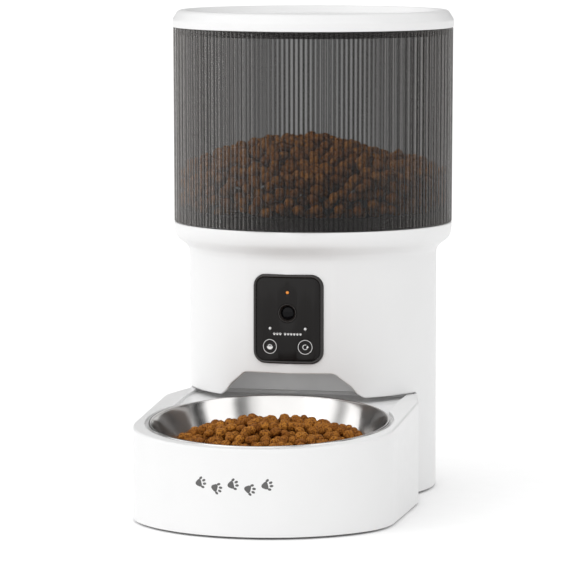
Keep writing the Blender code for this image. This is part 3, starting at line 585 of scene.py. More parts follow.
# ---- tank ----
def make_tank():
    """The clear wall, with upright reeds outside, and the black base with its funnel."""
    count = RIBS * STEPS_PER_RIB
    low, high = TANK_LOW, LID_BOTTOM - GAP
    turns = [tau * step / count for step in range(count)]
    reed = [RIB_DEPTH * (1 - sin(pi * (step % STEPS_PER_RIB) / STEPS_PER_RIB)) for step in range(count)]

    def ring(radius, height, depth=0.0):
        radii = [radius - depth * notch for notch in reed]
        return [(*bearing_point(r, t, AXIS_Y), height) for r, t in zip(radii, turns)]

    inner_top, inner_low = TANK_TOP_R - WALL, TANK_LOW_R - WALL
    rows = [ring(TANK_LOW_R - 0.0004, low), ring(TANK_LOW_R, low + 0.0004, 0.3),
            ring(TANK_LOW_R, low + 0.0010, 1.0), ring(TANK_TOP_R, high - 0.0010, 1.0),
            ring(TANK_TOP_R, high - 0.0004, 0.3), ring(TANK_TOP_R - 0.0004, high),
            ring(inner_top + 0.0003, high), ring(inner_top, high - 0.0003), ring(inner_top, high - 0.0010),
            ring(inner_low, low + 0.0010), ring(inner_low + 0.0003, low)]
    keep(woven("tank_wall", rows, 5.0), "smoked_plastic", "tank", "tank")

    funnel = rounded([
        (0.0090, 0.1585, 0), (0.0478, 0.1585, 0.0006), (0.0478, 0.1755, 0.0008), (0.0880, 0.1870, 0.0006),
        (0.0880, 0.1765, 0.0004), (0.0904, 0.1765, 0.0005), (0.0904, 0.1818, 0.0002),
        (0.0915, 0.1818, 0.0002), (0.0915, BAND_TOP, 0.0003), (0.0895, BAND_TOP, 0.0005),
        (FUNNEL_R, FUNNEL_Z, 0.0015), (FUNNEL_R, 0.1605, 0.0006), (0.0090, 0.1605, 0)], 4)
    outlet = block("outlet", (-0.0160, -0.0435, 0.150), (0.0160, -0.0195, 0.1612))
    keep(shape(revolve("tank_funnel", funnel), "DIFFERENCE", [outlet]), "black_plastic", "tank", "tank_base")


# ---- food ----
def pellet_shapes(rng, level):
    """A few lumpy pellets: balls, buttons and rounded triangles, about 8 mm across."""
    shapes = []
    for form in range(7):
        bm = bmesh.new()
        bmesh.ops.create_icosphere(bm, subdivisions=level, radius=1.0)
        phase = [rng.uniform(0, tau) for _ in range(6)]
        flat = (0.92, 0.80, 0.74, 0.86, 0.78, 0.88, 0.70)[form]
        sides = (0, 3, 0, 4, 3, 0, 2)[form]
        points = []
        for vert in bm.verts:
            x, y, z = vert.co
            turn = atan2(y, x)
            swell = 1 + (0.07 * cos(sides * turn) if sides else 0.0)
            swell += 0.045 * sin(3.1 * x + phase[0]) * sin(2.7 * y + phase[1])
            swell += 0.035 * sin(5.3 * y + phase[2]) * sin(4.9 * z + phase[3])
            swell += 0.020 * sin(9.0 * x + phase[4]) * sin(8.3 * z + phase[5])
            points.append((x * swell, y * swell, z * swell * flat))
        faces = [[vert.index for vert in face.verts] for face in bm.faces]
        bm.free()
        shapes.append((np.array(points), np.array(faces)))
    return shapes


def scatter(rng, inside, cylinder, tries, spacing):
    """Points drawn in a cylinder (radius, low, high), kept where inside says so and clear of each other."""
    grid = {}
    points = []
    steps = (-1, 0, 1)
    for _ in range(tries):
        turn = rng.uniform(0, tau)
        reach = cylinder[0] * sqrt(rng.random())
        point = (reach * sin(turn), reach * cos(turn), rng.uniform(*cylinder[1:]))
        if not inside(*point):
            continue
        x, y, z = cell = tuple(floor(value / spacing) for value in point)
        near = (grid.get((x + i, y + j, z + k), ()) for i in steps for j in steps for k in steps)
        if any(dist(point, other) < spacing for group in near for other in group):
            continue
        grid.setdefault(cell, []).append(point)
        points.append(point)
    return points


def pour(name, points, rng, level, size):
    """One mesh of pellets at the given points, each turned its own way."""
    shapes = pellet_shapes(rng, level)
    verts, faces, tones = [], [], []
    start = 0
    for point in points:
        form, triangles = shapes[rng.randrange(len(shapes))]
        turn = Matrix.Rotation(rng.uniform(0, tau), 3, "Z")
        tip = Matrix.Rotation(rng.uniform(-1.2, 1.2), 3, "X")
        spin = Matrix.Rotation(rng.uniform(0, tau), 3, "Z")
        grown = size * rng.uniform(0.88, 1.12)
        placed = form @ np.array(turn @ tip @ spin).T * grown + np.array(point)
        verts.append(placed)
        faces.append(triangles + start)
        tones.append(np.full(len(form), rng.random()))
        start += len(form)
    mesh = bpy.data.meshes.new(name)
    mesh.from_pydata(np.concatenate(verts).tolist(), [], np.concatenate(faces).tolist())
    mesh.shade_smooth()
    toast = mesh.attributes.new("toast", "FLOAT", "POINT")
    toast.data.foreach_set("value", np.concatenate(tones).astype(np.float32))
    return add_object(name, mesh)


def tank_heap(x, y):
    """Height of the food's surface in the tank, from the tower's axis."""
    side = x + HEAP_X
    slope = 0.36 + 0.10 * max(-1.0, min(1.0, -side / 0.04))
    ripple = 0.0018 * sin(70 * x + 1.0) * cos(60 * y)
    return HEAP_TOP - slope * max(0.0, hypot(side, y) - HEAP_FLAT) + ripple


def make_food():
    """A skin of food over the heap in the tank, and a mound in the bowl."""
    rng = random.Random(FOOD_SEED)

    def in_tank(x, y, z):
        reach = hypot(x, y)
        top = tank_heap(x, y)
        if reach > TANK_LOW_R - WALL - TANK_PELLET - 0.0006 or z > top:
            return False
        funnel = FUNNEL_Z + (BAND_TOP - FUNNEL_Z) * (reach - FUNNEL_R) / 0.0435 + TANK_PELLET
        if z < max(funnel, FUNNEL_Z):
            return False
        return reach > 0.0745 or z > top - HEAP_SKIN

    points = scatter(rng, in_tank, (0.0875, 0.184, 0.240), 60000, TANK_SPACING)
    points = [(x, y + AXIS_Y, z) for x, y, z in points]
    keep(pour("kibble_in_tank", points, rng, 3, TANK_PELLET), "pouch_fabric", "tank", material=KIBBLE)

    def mound(reach):
        if reach < MOUND_R:
            return -0.0035 - 0.0100 * (reach / MOUND_R) ** 2.2
        return -0.0135 - 1.0 * (reach - MOUND_R)

    def in_bowl(x, y, z):
        reach = hypot(x, y)
        top = mound(reach) + 0.0006 * sin(120 * x) * cos(140 * y)
        wall = 0.0762 + 0.43 * z - 0.0038
        return reach < wall and top - MOUND_SKIN < z < top and z > -0.0345

    points = scatter(rng, in_bowl, (0.0675, -0.034, -0.002), 50000, BOWL_SPACING)
    heap = pour("kibble_in_bowl", points, rng, 4, BOWL_PELLET)
    heap.matrix_world = bowl_place()
    keep(heap, "pouch_fabric", "bowl", material=KIBBLE)


# ---- tower ----
def arch_outline():
    """Flat-topped arch with rounded shoulders and sloping sides, from the middle to the right foot."""
    shoulder = 0.0070
    points = [(0.0, ARCH_TOP), (ARCH_HALF, ARCH_TOP)]
    points += [round_point(shoulder, 90 - 9 * step, ARCH_HALF, ARCH_TOP - shoulder) for step in range(1, 7)]
    return points + [(0.0412, 0.0775), (0.0443, 0.0732), (0.0457, 0.0719), (0.0472, 0.0709), (0.0483, 0.0702),
                     (ARCH_FOOT, OVERHANG)]


def lower_edge():
    """The shell's lower edge as (bearing, height), from the front round one side to the back."""
    edge = [(asin(x / BODY_R), z) for x, z in arch_outline()]
    corner = acos(-NOTCH_FACE / BODY_R)
    start = edge[-1][0]
    round_r = 0.0020
    last = corner - round_r / BODY_R
    edge += [(start + (last - start) * step / 12, OVERHANG) for step in range(1, 13)]
    for step in range(1, 6):
        turn = radians(90 * step / 5)
        edge.append((last + round_r * sin(turn) / BODY_R, OVERHANG - round_r * (1 - cos(turn))))
    top, low = OVERHANG - round_r, FOOT_GAP + 0.0012
    edge += [(corner + 0.0002 * step / 10, top + (low - top) * step / 10) for step in range(1, 11)]
    edge += [(corner + 0.0002 + 0.0012 / BODY_R * step / 3, low - 0.0012 * step / 3) for step in range(1, 4)]
    start = edge[-1][0]
    steps = 76
    edge += [(start + (pi - start) * step / steps, FOOT_GAP) for step in range(1, steps + 1)]
    return edge


def smooth_flare():
    """The flare as (height, radius), with more points on the same curve."""
    points = [(0.1580, BODY_R), *FLARE, (0.1800, 0.0941)]
    fine = []
    for index in range(1, len(points) - 2):
        before, here, there, after = (Vector(point) for point in points[index - 1:index + 3])
        for step in range(4):
            t = step / 4
            bend = 2 * before - 5 * here + 4 * there - after
            twist = 3 * here - before - 3 * there + after
            fine.append(tuple(0.5 * (2 * here + (there - before) * t + bend * t ** 2 + twist * t ** 3)))
    return fine + [FLARE[-1]]


def make_tower():
    top = TANK_LOW - GAP
    flare = smooth_flare()
    inner_r = BODY_R - WALL
    lip = 0.0009
    edge = lower_edge()
    edge = edge + [(-a, z) for a, z in reversed(edge[1:-1])]
    columns = []
    for bearing, low in edge:
        start = low + 0.0016
        outline = [(BODY_R - lip, low)]
        outline += [(BODY_R - lip + u, v) for u, v in
                    (bearing_point(lip, radians(t), low + lip) for t in (30, 60, 90))]
        outline += [(BODY_R, start)]
        outline += [(BODY_R, start + (0.0950 - low - 0.0016) * share) for share in (0.33, 0.66, 1.0)]
        outline += [(BODY_R, z) for z in (0.1050, 0.1150, 0.1250, 0.1350, 0.1450, 0.1530, 0.1590)]
        outline += [(r, z) for z, r in flare]
        outline += [(0.0941, top - 0.0012), (0.0941, top - 0.0005), (0.0939, top - 0.0001), (0.0936, top),
                    (0.0918, top), (0.0915, top - 0.0002), (0.0914, top - 0.0006), (0.0914, 0.1760),
                    (0.0905, 0.1735), (0.0865, 0.1700), (0.0840, 0.1672)]
        outline += [(inner_r, z) for z in (0.1640, 0.1550, 0.1300, 0.1100, 0.0950, start, low + 0.0005)]
        outline += [(inner_r + 0.0002, low + 0.0001), (inner_r + 0.0005, low)]
        columns.append([(*bearing_point(r, bearing, AXIS_Y), z) for r, z in outline])
    shell = woven("tower_shell", columns, 30.0)
    slot = rounded_rectangle(PANEL_HALF + GAP, PANEL_LOW - GAP, PANEL_HIGH + GAP, PANEL_CORNER + GAP)
    tools = [prism("slot", slot, -0.100, -0.060, "Y")]
    for index in range(5):
        x = (index - 2) * SOUND_STEP
        opening = rounded_rectangle(0.0009, 0.1130, 0.1270, 0.0009, 4)
        tools.append(prism("sound", [(x + u, v) for u, v in opening], 0.070, 0.100, "Y"))
    tools.append(rod("inlet", INLET_R, (0, 0.070, INLET_Z), (0, 0.100, INLET_Z)))
    shape(shell, "DIFFERENCE", tools, sharp=30.0)
    keep(shell, "white_plastic", "tower", "housing")

    half = sqrt(inner_r ** 2 - NOTCH_FACE ** 2) - 0.0001
    back = NOTCH_FACE + 0.0024
    wall = rounded([(-half, NOTCH_FACE, 0.0004), (half, NOTCH_FACE, 0.0004), (half - 0.0009, back, 0.0004),
                    (0.0009 - half, back, 0.0004)], 3)
    wall = prism("notch_wall", wall, FOOT_GAP, CEILING + 0.0024)
    lugs = []
    for side in (-1, 1):
        low_x, high_x = sorted((side * 0.0296, side * 0.0464))
        lugs.append(block("lug", (low_x, -0.040, 0.0076), (high_x, -0.020, 0.0124)))
    keep(shape(wall, "DIFFERENCE", lugs, bevel=0.0003), "white_plastic", "tower", "housing")
    reach = pi / 2 - asin(-NOTCH_FACE / inner_r)
    arc = [bearing_point(inner_r - 0.0001, -a) for a in np.linspace(-reach, reach, 61)]
    lid = prism("recess_ceiling", arc, CEILING, CEILING + 0.0024)
    way = block("chute_way", (-0.0214, -0.0618, 0.080), (0.0214, NOTCH_FACE - 0.0012, 0.100))
    keep(shape(lid, "DIFFERENCE", [way], bevel=0.0003), "white_plastic", "tower", "housing")


# ---- control panel ----
def on_tower(x, z, lift):
    """A point of the panel, lifted off the tower's curve."""
    radius = BODY_R + lift
    return (x, AXIS_Y - sqrt(radius * radius - x * x), z)


def make_bezel():
    """The raised rim: its section follows the rounded rectangle and the tower's curve."""
    section = rounded([(0.0, -0.0030, 0.0002), (0.0, 0.0008, 0.0006), (PANEL_LIP, 0.0008, 0.0006),
                       (PANEL_LIP, -0.0030, 0.0002)], 4)
    steps = None
    rows = []
    for inward, lift in section:
        ring = rounded_rectangle(PANEL_HALF - inward, PANEL_LOW + inward, PANEL_HIGH - inward,
                                 PANEL_CORNER - inward, 14)
        pairs = neighbours(ring)
        steps = steps or [max(1, int(dist(here, there) / 0.0022)) for here, there in pairs]
        line = []
        for (here, there), count in zip(pairs, steps):
            here, there = np.array(here), np.array(there)
            line += [tuple(here + (there - here) * k / count) for k in range(count)]
        rows.append([on_tower(x, z, lift) for x, z in line])
    keep(woven("panel_bezel", rows, 45.0), "panel_black", "tower", "panel_frame", material=TRIM_BLACK)


def make_face():
    """The dark plate inside the rim, with holes for the lens, the light, the buttons and the dots."""
    inset = PANEL_LIP + GAP
    outline = rounded_rectangle(PANEL_HALF - inset, PANEL_LOW + inset, PANEL_HIGH - inset,
                                PANEL_CORNER - inset)
    face = prism("panel_plate", outline, -0.0950, -0.0600, "Y")
    lower, upper = BODY_R - 0.0023, BODY_R + 0.0001
    shell = revolve("plate_shell", [(lower, 0.080), (upper, 0.080), (upper, 0.170), (lower, 0.170)], 480)
    shape(face, "INTERSECT", [shell])
    tools = [rod("lens_hole", 0.0064, (0, -0.10, LENS_Z), (0, -0.07, LENS_Z), 64),
             rod("led_hole", 0.0012, (0, -0.10, LED_Z), (0, -0.07, LED_Z), 24)]
    for side in (-1, 1):
        angle = side * SIDE_ANGLE
        for radius, height, segments in ((BUTTON_R + 0.0003, BUTTON_Z, 64), (0.0012, DOT_Z, 24)):
            tools.append(rod("hole", radius, front_point(angle, 0.095, height),
                             front_point(angle, 0.075, height), segments))
    shape(face, "DIFFERENCE", tools, bevel=0.00012)
    keep(face, "panel_black", "tower", "panel_face")


def turned(name, profile, angle, height, reach, segments=64, sharp=40.0):
    """A turned piece whose axis points out of the front at a bearing, with heights outwards from reach."""
    obj = revolve(name, profile, segments, (0.0, 0.0), sharp)
    x, y, z = front_point(angle, reach, height)
    spin = Matrix.Rotation(angle, 4, "Z") @ Matrix.Rotation(pi / 2, 4, "X")
    obj.matrix_world = Matrix.Translation((x, y + AXIS_Y, z)) @ spin
    return obj


def printed(name, outlines, place, low=0.00002, high=0.00007):
    """Thin solids over flat outlines, laid on a curved face by place(u, v, lift)."""
    bm = bmesh.new()
    for outline in outlines:
        solid_between(bm, [[place(u, v, lift) for u, v in outline] for lift in (low, high)])
    return object_from(name, bm, 40.0)


def leaned(x, z, points, lean, size=1.0):
    """Points turned by lean, sized and moved to (x, z)."""
    return [(x + size * (u * cos(lean) - v * sin(lean)),
             z + size * (u * sin(lean) + v * cos(lean))) for u, v in points]


def oval(x, z, wide, tall, lean=0.0, count=20):
    turns = [tau * step / count for step in range(count)]
    return leaned(x, z, [(wide * cos(turn), tall * sin(turn)) for turn in turns], lean)


def paw(x, z, size, lean=0.0):
    """A plain paw mark: a pad and four toes, within a square of the given size."""
    pad = []
    for step in range(28):
        turn = tau * step / 28
        reach = 0.265 + 0.035 * cos(3 * turn - pi / 2)
        pad.append((reach * 1.12 * cos(turn), reach * sin(turn) - 0.16))
    toes = ((-0.37, 0.10, 0.45), (-0.14, 0.32, 0.14), (0.14, 0.32, -0.14), (0.37, 0.10, -0.45))
    marks = [pad] + [oval(u, v, 0.098, 0.150, lean=tilt, count=16) for u, v, tilt in toes]
    return [leaned(x, z, mark, lean, size) for mark in marks]


def arc_band(x, z, inner, outer, start, end, count=24):
    """Part of a ring, as one outline."""
    turns = [start + (end - start) * step / count for step in range(count + 1)]
    near = [round_point(inner, t, x, z) for t in turns]
    return near + [round_point(outer, t, x, z) for t in reversed(turns)]


def make_legend():
    """A row of tiny paws in the place of the panel's words."""
    marks = []
    letters = [k * 0.00205 for k in (0, 1, 2, 3.6, 4.6, 5.6, 6.6, 7.6, 8.6)]
    for x in letters:
        marks += paw(x - letters[-1] / 2, LEGEND_Z, 0.00185)
    legend = printed("panel_paws", marks, lambda u, v, lift: on_tower(u, v, 0.0001 + lift))
    keep(legend, "light_dot", "tower")


def button_icons(name):
    """A ring, with a bowl of food on the feed button and a turning arrow on the reset button."""
    icons = [arc_band(0, 0, 0.00445, 0.00480, start, start + 179.9, 36) for start in (0, 180)]
    if name == "feed":
        crumbs = ((-0.0010, 0.0008), (0.0, 0.0011), (0.0010, 0.0008))
        icons.append(arc_band(0, 0.0001, 0.0, 0.0021, 180, 360, 20)[20:])
        return icons + [oval(u, v, 0.00042, 0.00042, count=12) for u, v in crumbs]
    return icons + [arc_band(0, 0, 0.00135, 0.00178, 60, 350, 30),
                    [(0.00245, -0.00025), (0.00070, -0.00025), (0.00160, 0.00105)]]


def make_panel():
    make_bezel()
    make_face()
    make_legend()
    cap = rounded([(0.0, 0.0041, 0), (0.0046, CAP_FACE, 0.0003), (BUTTON_R, 0.0039, 0.0002),
                   (BUTTON_R, 0.0, 0.0002), (0.0, 0.0, 0)], 4)
    dot = rounded([(0.0, 0.0042, 0), (0.0006, 0.0041, 0.0002), (0.0009, 0.0038, 0.0002),
                   (0.0009, 0.0, 0.0001), (0.0, 0.0, 0)], 3)
    for name, side in (("feed", -1), ("reset", 1)):
        angle = side * SIDE_ANGLE
        button = f"{name}_button"
        keep(turned(f"{name}_cap", cap, angle, BUTTON_Z, CAP_BACK, 72), "panel_black", button, button)
        spin = Matrix.Rotation(angle, 4, "Z")
        face = Vector(front_point(angle, CAP_BACK + CAP_FACE, BUTTON_Z)) + TOWER_FOOT

        def on_cap(u, v, lift, spin=spin, face=face):
            return spin @ Vector((u, -lift, v)) + face

        keep(printed(f"{name}_legend", button_icons(name), on_cap), "light_dot", button)
        lit = turned(f"{name}_dot", dot, angle, DOT_Z, DOT_BACK, 32)
        keep(lit, "light_dot", "tower", f"{name}_indicator")
    led = rounded([(0.0, 0.0043, 0), (0.0006, 0.0041, 0.0002), (0.0010, 0.0037, 0.0002),
                   (0.0010, 0.0, 0.0001), (0.0, 0.0, 0)], 3)
    keep(turned("led_dome", led, 0.0, LED_Z, DOT_BACK, 32), "amber_led", "tower", "status_led")
    barrel = rounded([(0.0045, 0.0, 0.0002), (0.0045, 0.0036, 0.0003), (0.0057, 0.0052, 0.0003),
                      (0.0061, 0.0051, 0.0002), (0.0061, 0.0, 0.0002)], 4)
    keep(turned("camera_ring", barrel, 0.0, LENS_Z, LENS_BACK, 96), "panel_black", "tower", "camera_barrel",
         material=TRIM_BLACK)
    dome = [(0.0, 0.0)] + [(LENS_R, z) for z in (0.0, 0.0010, 0.0020, 0.0026)]
    dome += [round_point(LENS_R, t, 0.0, 0.0026, 0.0012) for t in range(8, 88, 8)] + [(0.0, 0.0038)]
    keep(turned("lens_dome", dome, 0.0, LENS_Z, LENS_BACK, 64), "lens_glass", "tower", "camera_lens")


# ---- tray and bowl ----
def bowl_place():
    """The bowl's own frame: its axis leans with the tray's rim."""
    height = rim_height(BOWL_Y)
    return Matrix.Translation((0.0, AXIS_Y + BOWL_Y, height)) @ Matrix.Rotation(atan(RIM_SLOPE), 4, "X")


def rim_height(y):
    """Smoothly turns from the sloping rim to the level rear."""
    slope = RIM_FRONT_Z + RIM_SLOPE * (y - TRAY_ARC_Y + TRAY_ARC_R)
    soft = 0.0004
    return 0.5 * (slope + TRAY_TOP) - 0.5 * sqrt((slope - TRAY_TOP) ** 2 + soft ** 2)


def floor_height(y):
    slope = RIM_FRONT_Z + RIM_SLOPE * (y - TRAY_ARC_Y + TRAY_ARC_R) - RIM_DEPTH
    return min(slope, TRAY_DECK_Z)


def tray_outline():
    """Plan of the tray, clockwise from the middle of the front, on the right-hand side."""
    fillet_x = TRAY_HALF - TRAY_FILLET
    fillet_y = TRAY_ARC_Y - sqrt((TRAY_ARC_R - TRAY_FILLET) ** 2 - fillet_x ** 2)
    meet = atan2(fillet_x, TRAY_ARC_Y - fillet_y)
    half = [bearing_point(TRAY_ARC_R, a, TRAY_ARC_Y) for a in np.linspace(0, meet, 41)]
    half += [(fillet_x + TRAY_FILLET * sin(a), fillet_y - TRAY_FILLET * cos(a))
             for a in np.linspace(meet, pi / 2, 41)[1:]]
    corners = [(*half[-1], 0), (TRAY_REAR_HALF, TRAY_SHOULDER_Y - 0.0010, 0.0080),
               (TRAY_TAIL_HALF, TRAY_BACK_Y, 0.0012), (0.0, TRAY_BACK_Y, 0)]
    return half + rounded(corners, 10)[1:]


def reach_along(outline, turn):
    """How far a line from the bowl's centre runs to an outline of the right-hand side."""
    direction = np.array((sin(turn), -cos(turn)))
    centre = np.array((0.0, BOWL_Y))
    best = 0.0
    for here, there in zip(outline, outline[1:]):
        start, edge = np.array(here) - centre, np.array(there) - np.array(here)
        across = direction[0] * edge[1] - direction[1] * edge[0]
        if abs(across) < 1e-12:
            continue
        share = (direction[1] * start[0] - direction[0] * start[1]) / across
        along = (start[0] * edge[1] - start[1] * edge[0]) / across
        if -1e-6 <= share <= 1 + 1e-6 and along > 0:
            best = max(best, along)
    return best


def recess_outline():
    """Right half of the recess: the bowl's seat in front, and the deck's straight sides behind."""
    meet = asin(DECK_HALF / SEAT_R)
    half = [bearing_point(SEAT_R, a, BOWL_Y) for a in np.linspace(0, pi - meet, 61)]
    rear = TRAY_BACK_Y - REAR_LIP
    return half + rounded([(*half[-1], 0), (DECK_HALF, rear, 0.0040), (0.0, rear, 0)], 8)[1:]


def make_tray():
    outer, recess = tray_outline(), recess_outline()
    turns = np.unique(np.concatenate((
        np.linspace(0, pi, 241),
        [atan2(x, BOWL_Y - y) for x, y in outer[82:-1]],
        [atan2(x, BOWL_Y - y) for x, y in recess[60:-1]])))
    turns = [turns[0]] + [b for a, b in zip(turns, turns[1:]) if b - a > 0.0004]
    turns[-1] = pi
    table = [(t, reach_along(outer, t), reach_along(recess, t)) for t in turns]
    table += [(tau - t, a, b) for t, a, b in reversed(table[1:-1])]
    rows = []
    for turn, out, step in table:
        def level(reach, drop=0.0, turn=turn, flat=rim_height):
            return flat(BOWL_Y - reach * cos(turn)) - drop
        bottom = level(WELL_R, 0.0300)
        skin = min(0.0025, 0.45 * (out - step) + 0.0012)
        corners = [
            (WELL_R, bottom, 0.0004), (WELL_R, level(WELL_R, flat=floor_height), 0.0006),
            (step, level(step, flat=floor_height), 0.0006), (step, level(step), 0.0007),
            (out, level(out), 0.0013), (out, FOOT_GAP, 0.0004), (out - skin, FOOT_GAP, 0.0003),
            (out - skin, level(out, 0.0062), 0.0005), (WELL_R + 0.0020, level(WELL_R, 0.0062), 0.0005),
            (WELL_R + 0.0020, bottom, 0.0004)]
        section = rounded(corners, 4)
        rows.append([(*bearing_point(r, turn, AXIS_Y + BOWL_Y), z) for r, z in section])
    keep(woven("tray_shell", rows, 38.0), "white_plastic", "tray", "tray")
    for side in (-1, 1):
        low_x, high_x = sorted((side * 0.0300, side * 0.0460))
        lug = block(f"tray_lug_{side + 2}", (low_x, TRAY_BACK_Y - 0.0008, 0.0080), (high_x, -0.0266, 0.0120))
        keep(shape(lug, "DIFFERENCE", [], bevel=0.0006), "white_plastic", "tray", "tray")
    marks = []
    for index in range(5):
        side = (-1) ** index
        marks += paw(FRONT_PAWS_X + FRONT_PAWS_STEP * index, FRONT_PAWS_Z + 0.0014 * side, 0.0078,
                     lean=radians(-90 + 14 * side))

    def on_front(u, v, lift):
        return (u, AXIS_Y + TRAY_ARC_Y - sqrt((TRAY_ARC_R + lift) ** 2 - u * u), v)

    keep(printed("tray_paws", marks, on_front), "light_dot", "tray", material=PRINT_GREY)


def make_bowl():
    inner = [(0.0763, -0.0007), (0.0759, -0.0014), (0.0748, -0.0040), (0.0722, -0.0100), (0.0694, -0.0165),
             (0.0662, -0.0235), (0.0622, -0.0300), (0.0570, -0.0352), (0.0500, -0.0386), (0.0400, -0.0397),
             (0.0200, -0.0398)]
    profile = [(0.0, -0.0405), (0.0200, -0.0405), (0.0402, -0.0404), (0.0503, -0.0393), (0.0575, -0.0358),
               (0.0628, -0.0305), (0.0668, -0.0239), (0.0701, -0.0168), (0.0729, -0.0103), (0.0755, -0.0042),
               (0.0766, -0.0021)]
    bead = [round_point(0.0009, t, 0.0775, -0.0011, 0.0011) for t in range(-120, 181, 20)]
    profile += bead + inner + [(0.0, -0.0398)]
    bowl = revolve("steel_bowl", profile, 288, (0.0, 0.0), 50.0)
    bowl.matrix_world = bowl_place()
    keep(bowl, "stainless_steel", "bowl", "bowl")


# ---- small pieces ----
def make_feet():
    for name in sorted(frame["nodes"]):
        if "_foot_" not in name:
            continue
        low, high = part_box(name)
        x, y = (low.x + high.x) / 2, (low.y + high.y) / 2
        profile = rounded([(0.0, 0.0, 0), (0.0054, 0.0, 0.0004), (0.0060, 0.0008, 0.0003),
                           (0.0060, high.z, 0.0003), (0.0, high.z, 0)], 4)
        pad = revolve(f"{name}_pad", profile, 64, (x, y))
        keep(pad, "silicone_rubber", frame["nodes"][name]["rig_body"], name)


def dress_nodes():
    """Every CAD node that stays in view takes its slot's material."""
    for part in frame["record"]["subparts"]:
        obj = frame["nodes"][part["node"]]
        obj.data.materials.clear()
        obj.data.materials.append(FINISH[part["material_slot"]])


# ---- room ----
def add_camera():
    data = bpy.data.cameras.new("view")
    data.lens = LENS_MM
    data.sensor_width = 36.0
    data.clip_end = 100.0
    camera = add_object("view", data)
    camera.rotation_euler = (-Vector(CAMERA_BACK)).to_track_quat("-Z", "Y").to_euler()
    camera.location = CAMERA_AT
    bpy.context.scene.camera = camera


def add_floor():
    bm = bmesh.new()
    bmesh.ops.create_grid(bm, x_segments=4, y_segments=4, size=40.0)
    ground = object_from("floor", bm)
    material, tree, shader = blank("floor")
    grain = spread(tree, noise(tree, 60.0, 4.0), 0.0, 1.0)
    feed(tree, blend(tree, grain, (0.955, 0.955, 0.955), (0.965, 0.965, 0.965)), shader, "Base Color")
    shader.inputs["Roughness"].default_value = 0.9
    shader.inputs["Specular IOR Level"].default_value = 0.0
    ground.data.materials.append(material)


STUDIO = (                       # what polished surfaces see: (bearing from the front, brightness)
    (-180, 0.30), (-145, 0.10), (-133, 0.10), (-127, 0.75), (-122, 0.70), (-117, 0.12), (-104, 0.25),
    (-98, 1.65), (-80, 1.65), (-73, 0.85), (-67, 0.60), (-58, 1.60), (20, 1.50), (30, 1.10), (37, 0.45),
    (43, 0.25), (48, 0.60), (53, 1.60), (80, 1.65), (87, 0.25), (94, 0.03), (99, 0.30), (106, 0.95),
    (111, 1.00), (118, 0.35), (123, 0.12), (131, 0.70), (137, 1.10), (144, 0.22), (160, 0.15), (172, 0.06),
    (180, 0.30))


def add_world():
    """White room: a soft gradient lights the surfaces, and glossy surfaces see softboxes with dark gaps."""
    world = bpy.data.worlds.new("studio")
    world.use_nodes = True
    bpy.context.scene.world = world
    tree = world.node_tree
    direction = add_node(tree, "TexCoord").outputs["Generated"]
    lean = add_node(tree, "VectorMath")
    lean.operation = "DOT_PRODUCT"
    lean.inputs[1].default_value = Vector(BRIGHT_FROM).normalized()
    feed(tree, direction, lean, 0)
    soft = spread(tree, lean.outputs["Value"], ROOM_LOW, ROOM_HIGH, -1.0, 1.0, "LINEAR")

    x, y = split_axes(tree, direction)
    bearing = calculate(tree, "ARCTAN2", x, times(tree, y, -1.0))
    share = plus(tree, calculate(tree, "DIVIDE", bearing, tau), 0.5)
    boxes = add_node(tree, "ValToRGB")
    stops = boxes.color_ramp.elements
    while len(stops) < len(STUDIO):
        stops.new(0.5)
    for stop, (degrees, value) in zip(stops, STUDIO):
        stop.position = degrees / 360 + 0.5
    for stop, (degrees, value) in zip(stops, STUDIO):
        stop.color = (value, value, value, 1.0)
    feed(tree, share, boxes, "Fac")

    path = add_node(tree, "LightPath")
    lit = blend(tree, path.outputs["Is Glossy Ray"], soft, boxes.outputs["Color"])
    seen = calculate(tree, "MAXIMUM", path.outputs["Is Camera Ray"], path.outputs["Is Transmission Ray"])
    feed(tree, blend(tree, seen, lit, ROOM_SEEN), tree.nodes["Background"], "Color")


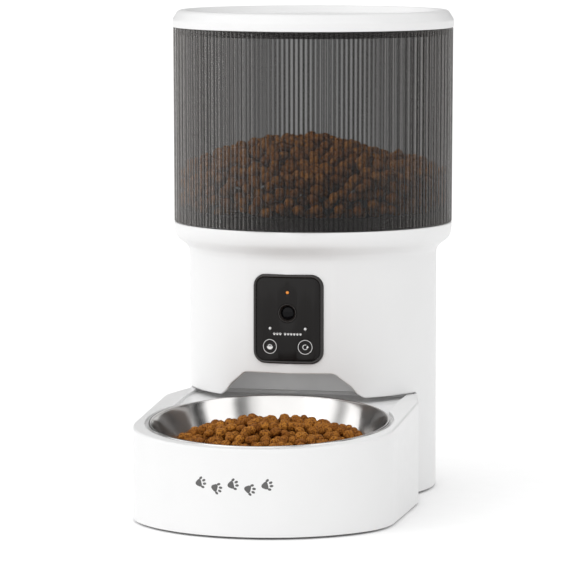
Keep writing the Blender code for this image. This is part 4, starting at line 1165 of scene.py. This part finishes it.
def lamp_for(lamp, names, blockers=None):
    """Links a lamp to some pieces, and lets only the blockers shade it."""
    shown_to = bpy.data.collections.new(f"{lamp.name}_receivers")
    for name in names:
        shown_to.objects.link(bpy.data.objects[name])
    lamp.light_linking.receiver_collection = shown_to
    if blockers is not None:
        shaded_by = bpy.data.collections.new(f"{lamp.name}_blockers")
        for name in blockers:
            shaded_by.objects.link(bpy.data.objects[name])
        lamp.light_linking.blocker_collection = shaded_by


def soft_lamp(name, shape_kind, size, energy, place, target):
    """An area lamp that faces its target."""
    data = bpy.data.lights.new(name, "AREA")
    data.shape = shape_kind
    data.size = size
    data.energy = energy
    lamp = add_object(name, data)
    lamp.location = place
    lamp.rotation_euler = (Vector(target) - lamp.location).to_track_quat("-Z", "Y").to_euler()
    return lamp


def add_lights():
    """The key light, and four helpers that reach only what they are for."""
    soft_lamp("key", "DISK", 1.1, 2.5, (-1.25, -1.35, 1.55), (0.0, 0.0, 0.15))

    turn = radians(-73)                     # a tall softbox on the left, for the clear tank
    strip = soft_lamp("strip", "RECTANGLE", 0.24, 7.0, (sin(turn), AXIS_Y - cos(turn), 0.25),
                      (0.0, AXIS_Y, 0.25))
    strip.data.size_y = 1.20
    lamp_for(strip, ["tank_wall"])

    # the food, as if its light came through the tank's clear wall
    food = soft_lamp("food", "DISK", 0.9, 28.0, (-1.05, -1.25, 1.45), (0.0, AXIS_Y, 0.22))
    lamp_for(food, ["kibble_in_tank"], ["kibble_in_tank"])

    # a little light on the back of the recess under the tower's front
    recess = soft_lamp("recess", "SQUARE", 0.6, 2.2, (-0.5, -1.6, 0.35), (0.0, 0.0, 0.08))
    lamp_for(recess, ["notch_wall", "recess_ceiling"], ["notch_wall"])

    data = bpy.data.lights.new("sweep", "SUN")   # lifts the floor to a clean white, without a shadow
    data.energy = 0.22
    data.use_shadow = False
    lamp_for(add_object("sweep", data), ["floor"])


def set_look():
    scene = bpy.context.scene
    scene.view_settings.view_transform = "Standard"
    scene.view_settings.look = "None"
    scene.cycles.use_denoising = True
    scene.cycles.min_transparent_bounces = 8     # the clear walls stay free of noise
    scene.cycles.min_light_bounces = 3


dress_nodes()
make_lid()
make_tank()
make_tower()
make_panel()
make_tray()
make_bowl()
make_food()
make_feet()
add_camera()
add_floor()
add_world()
add_lights()
set_look()
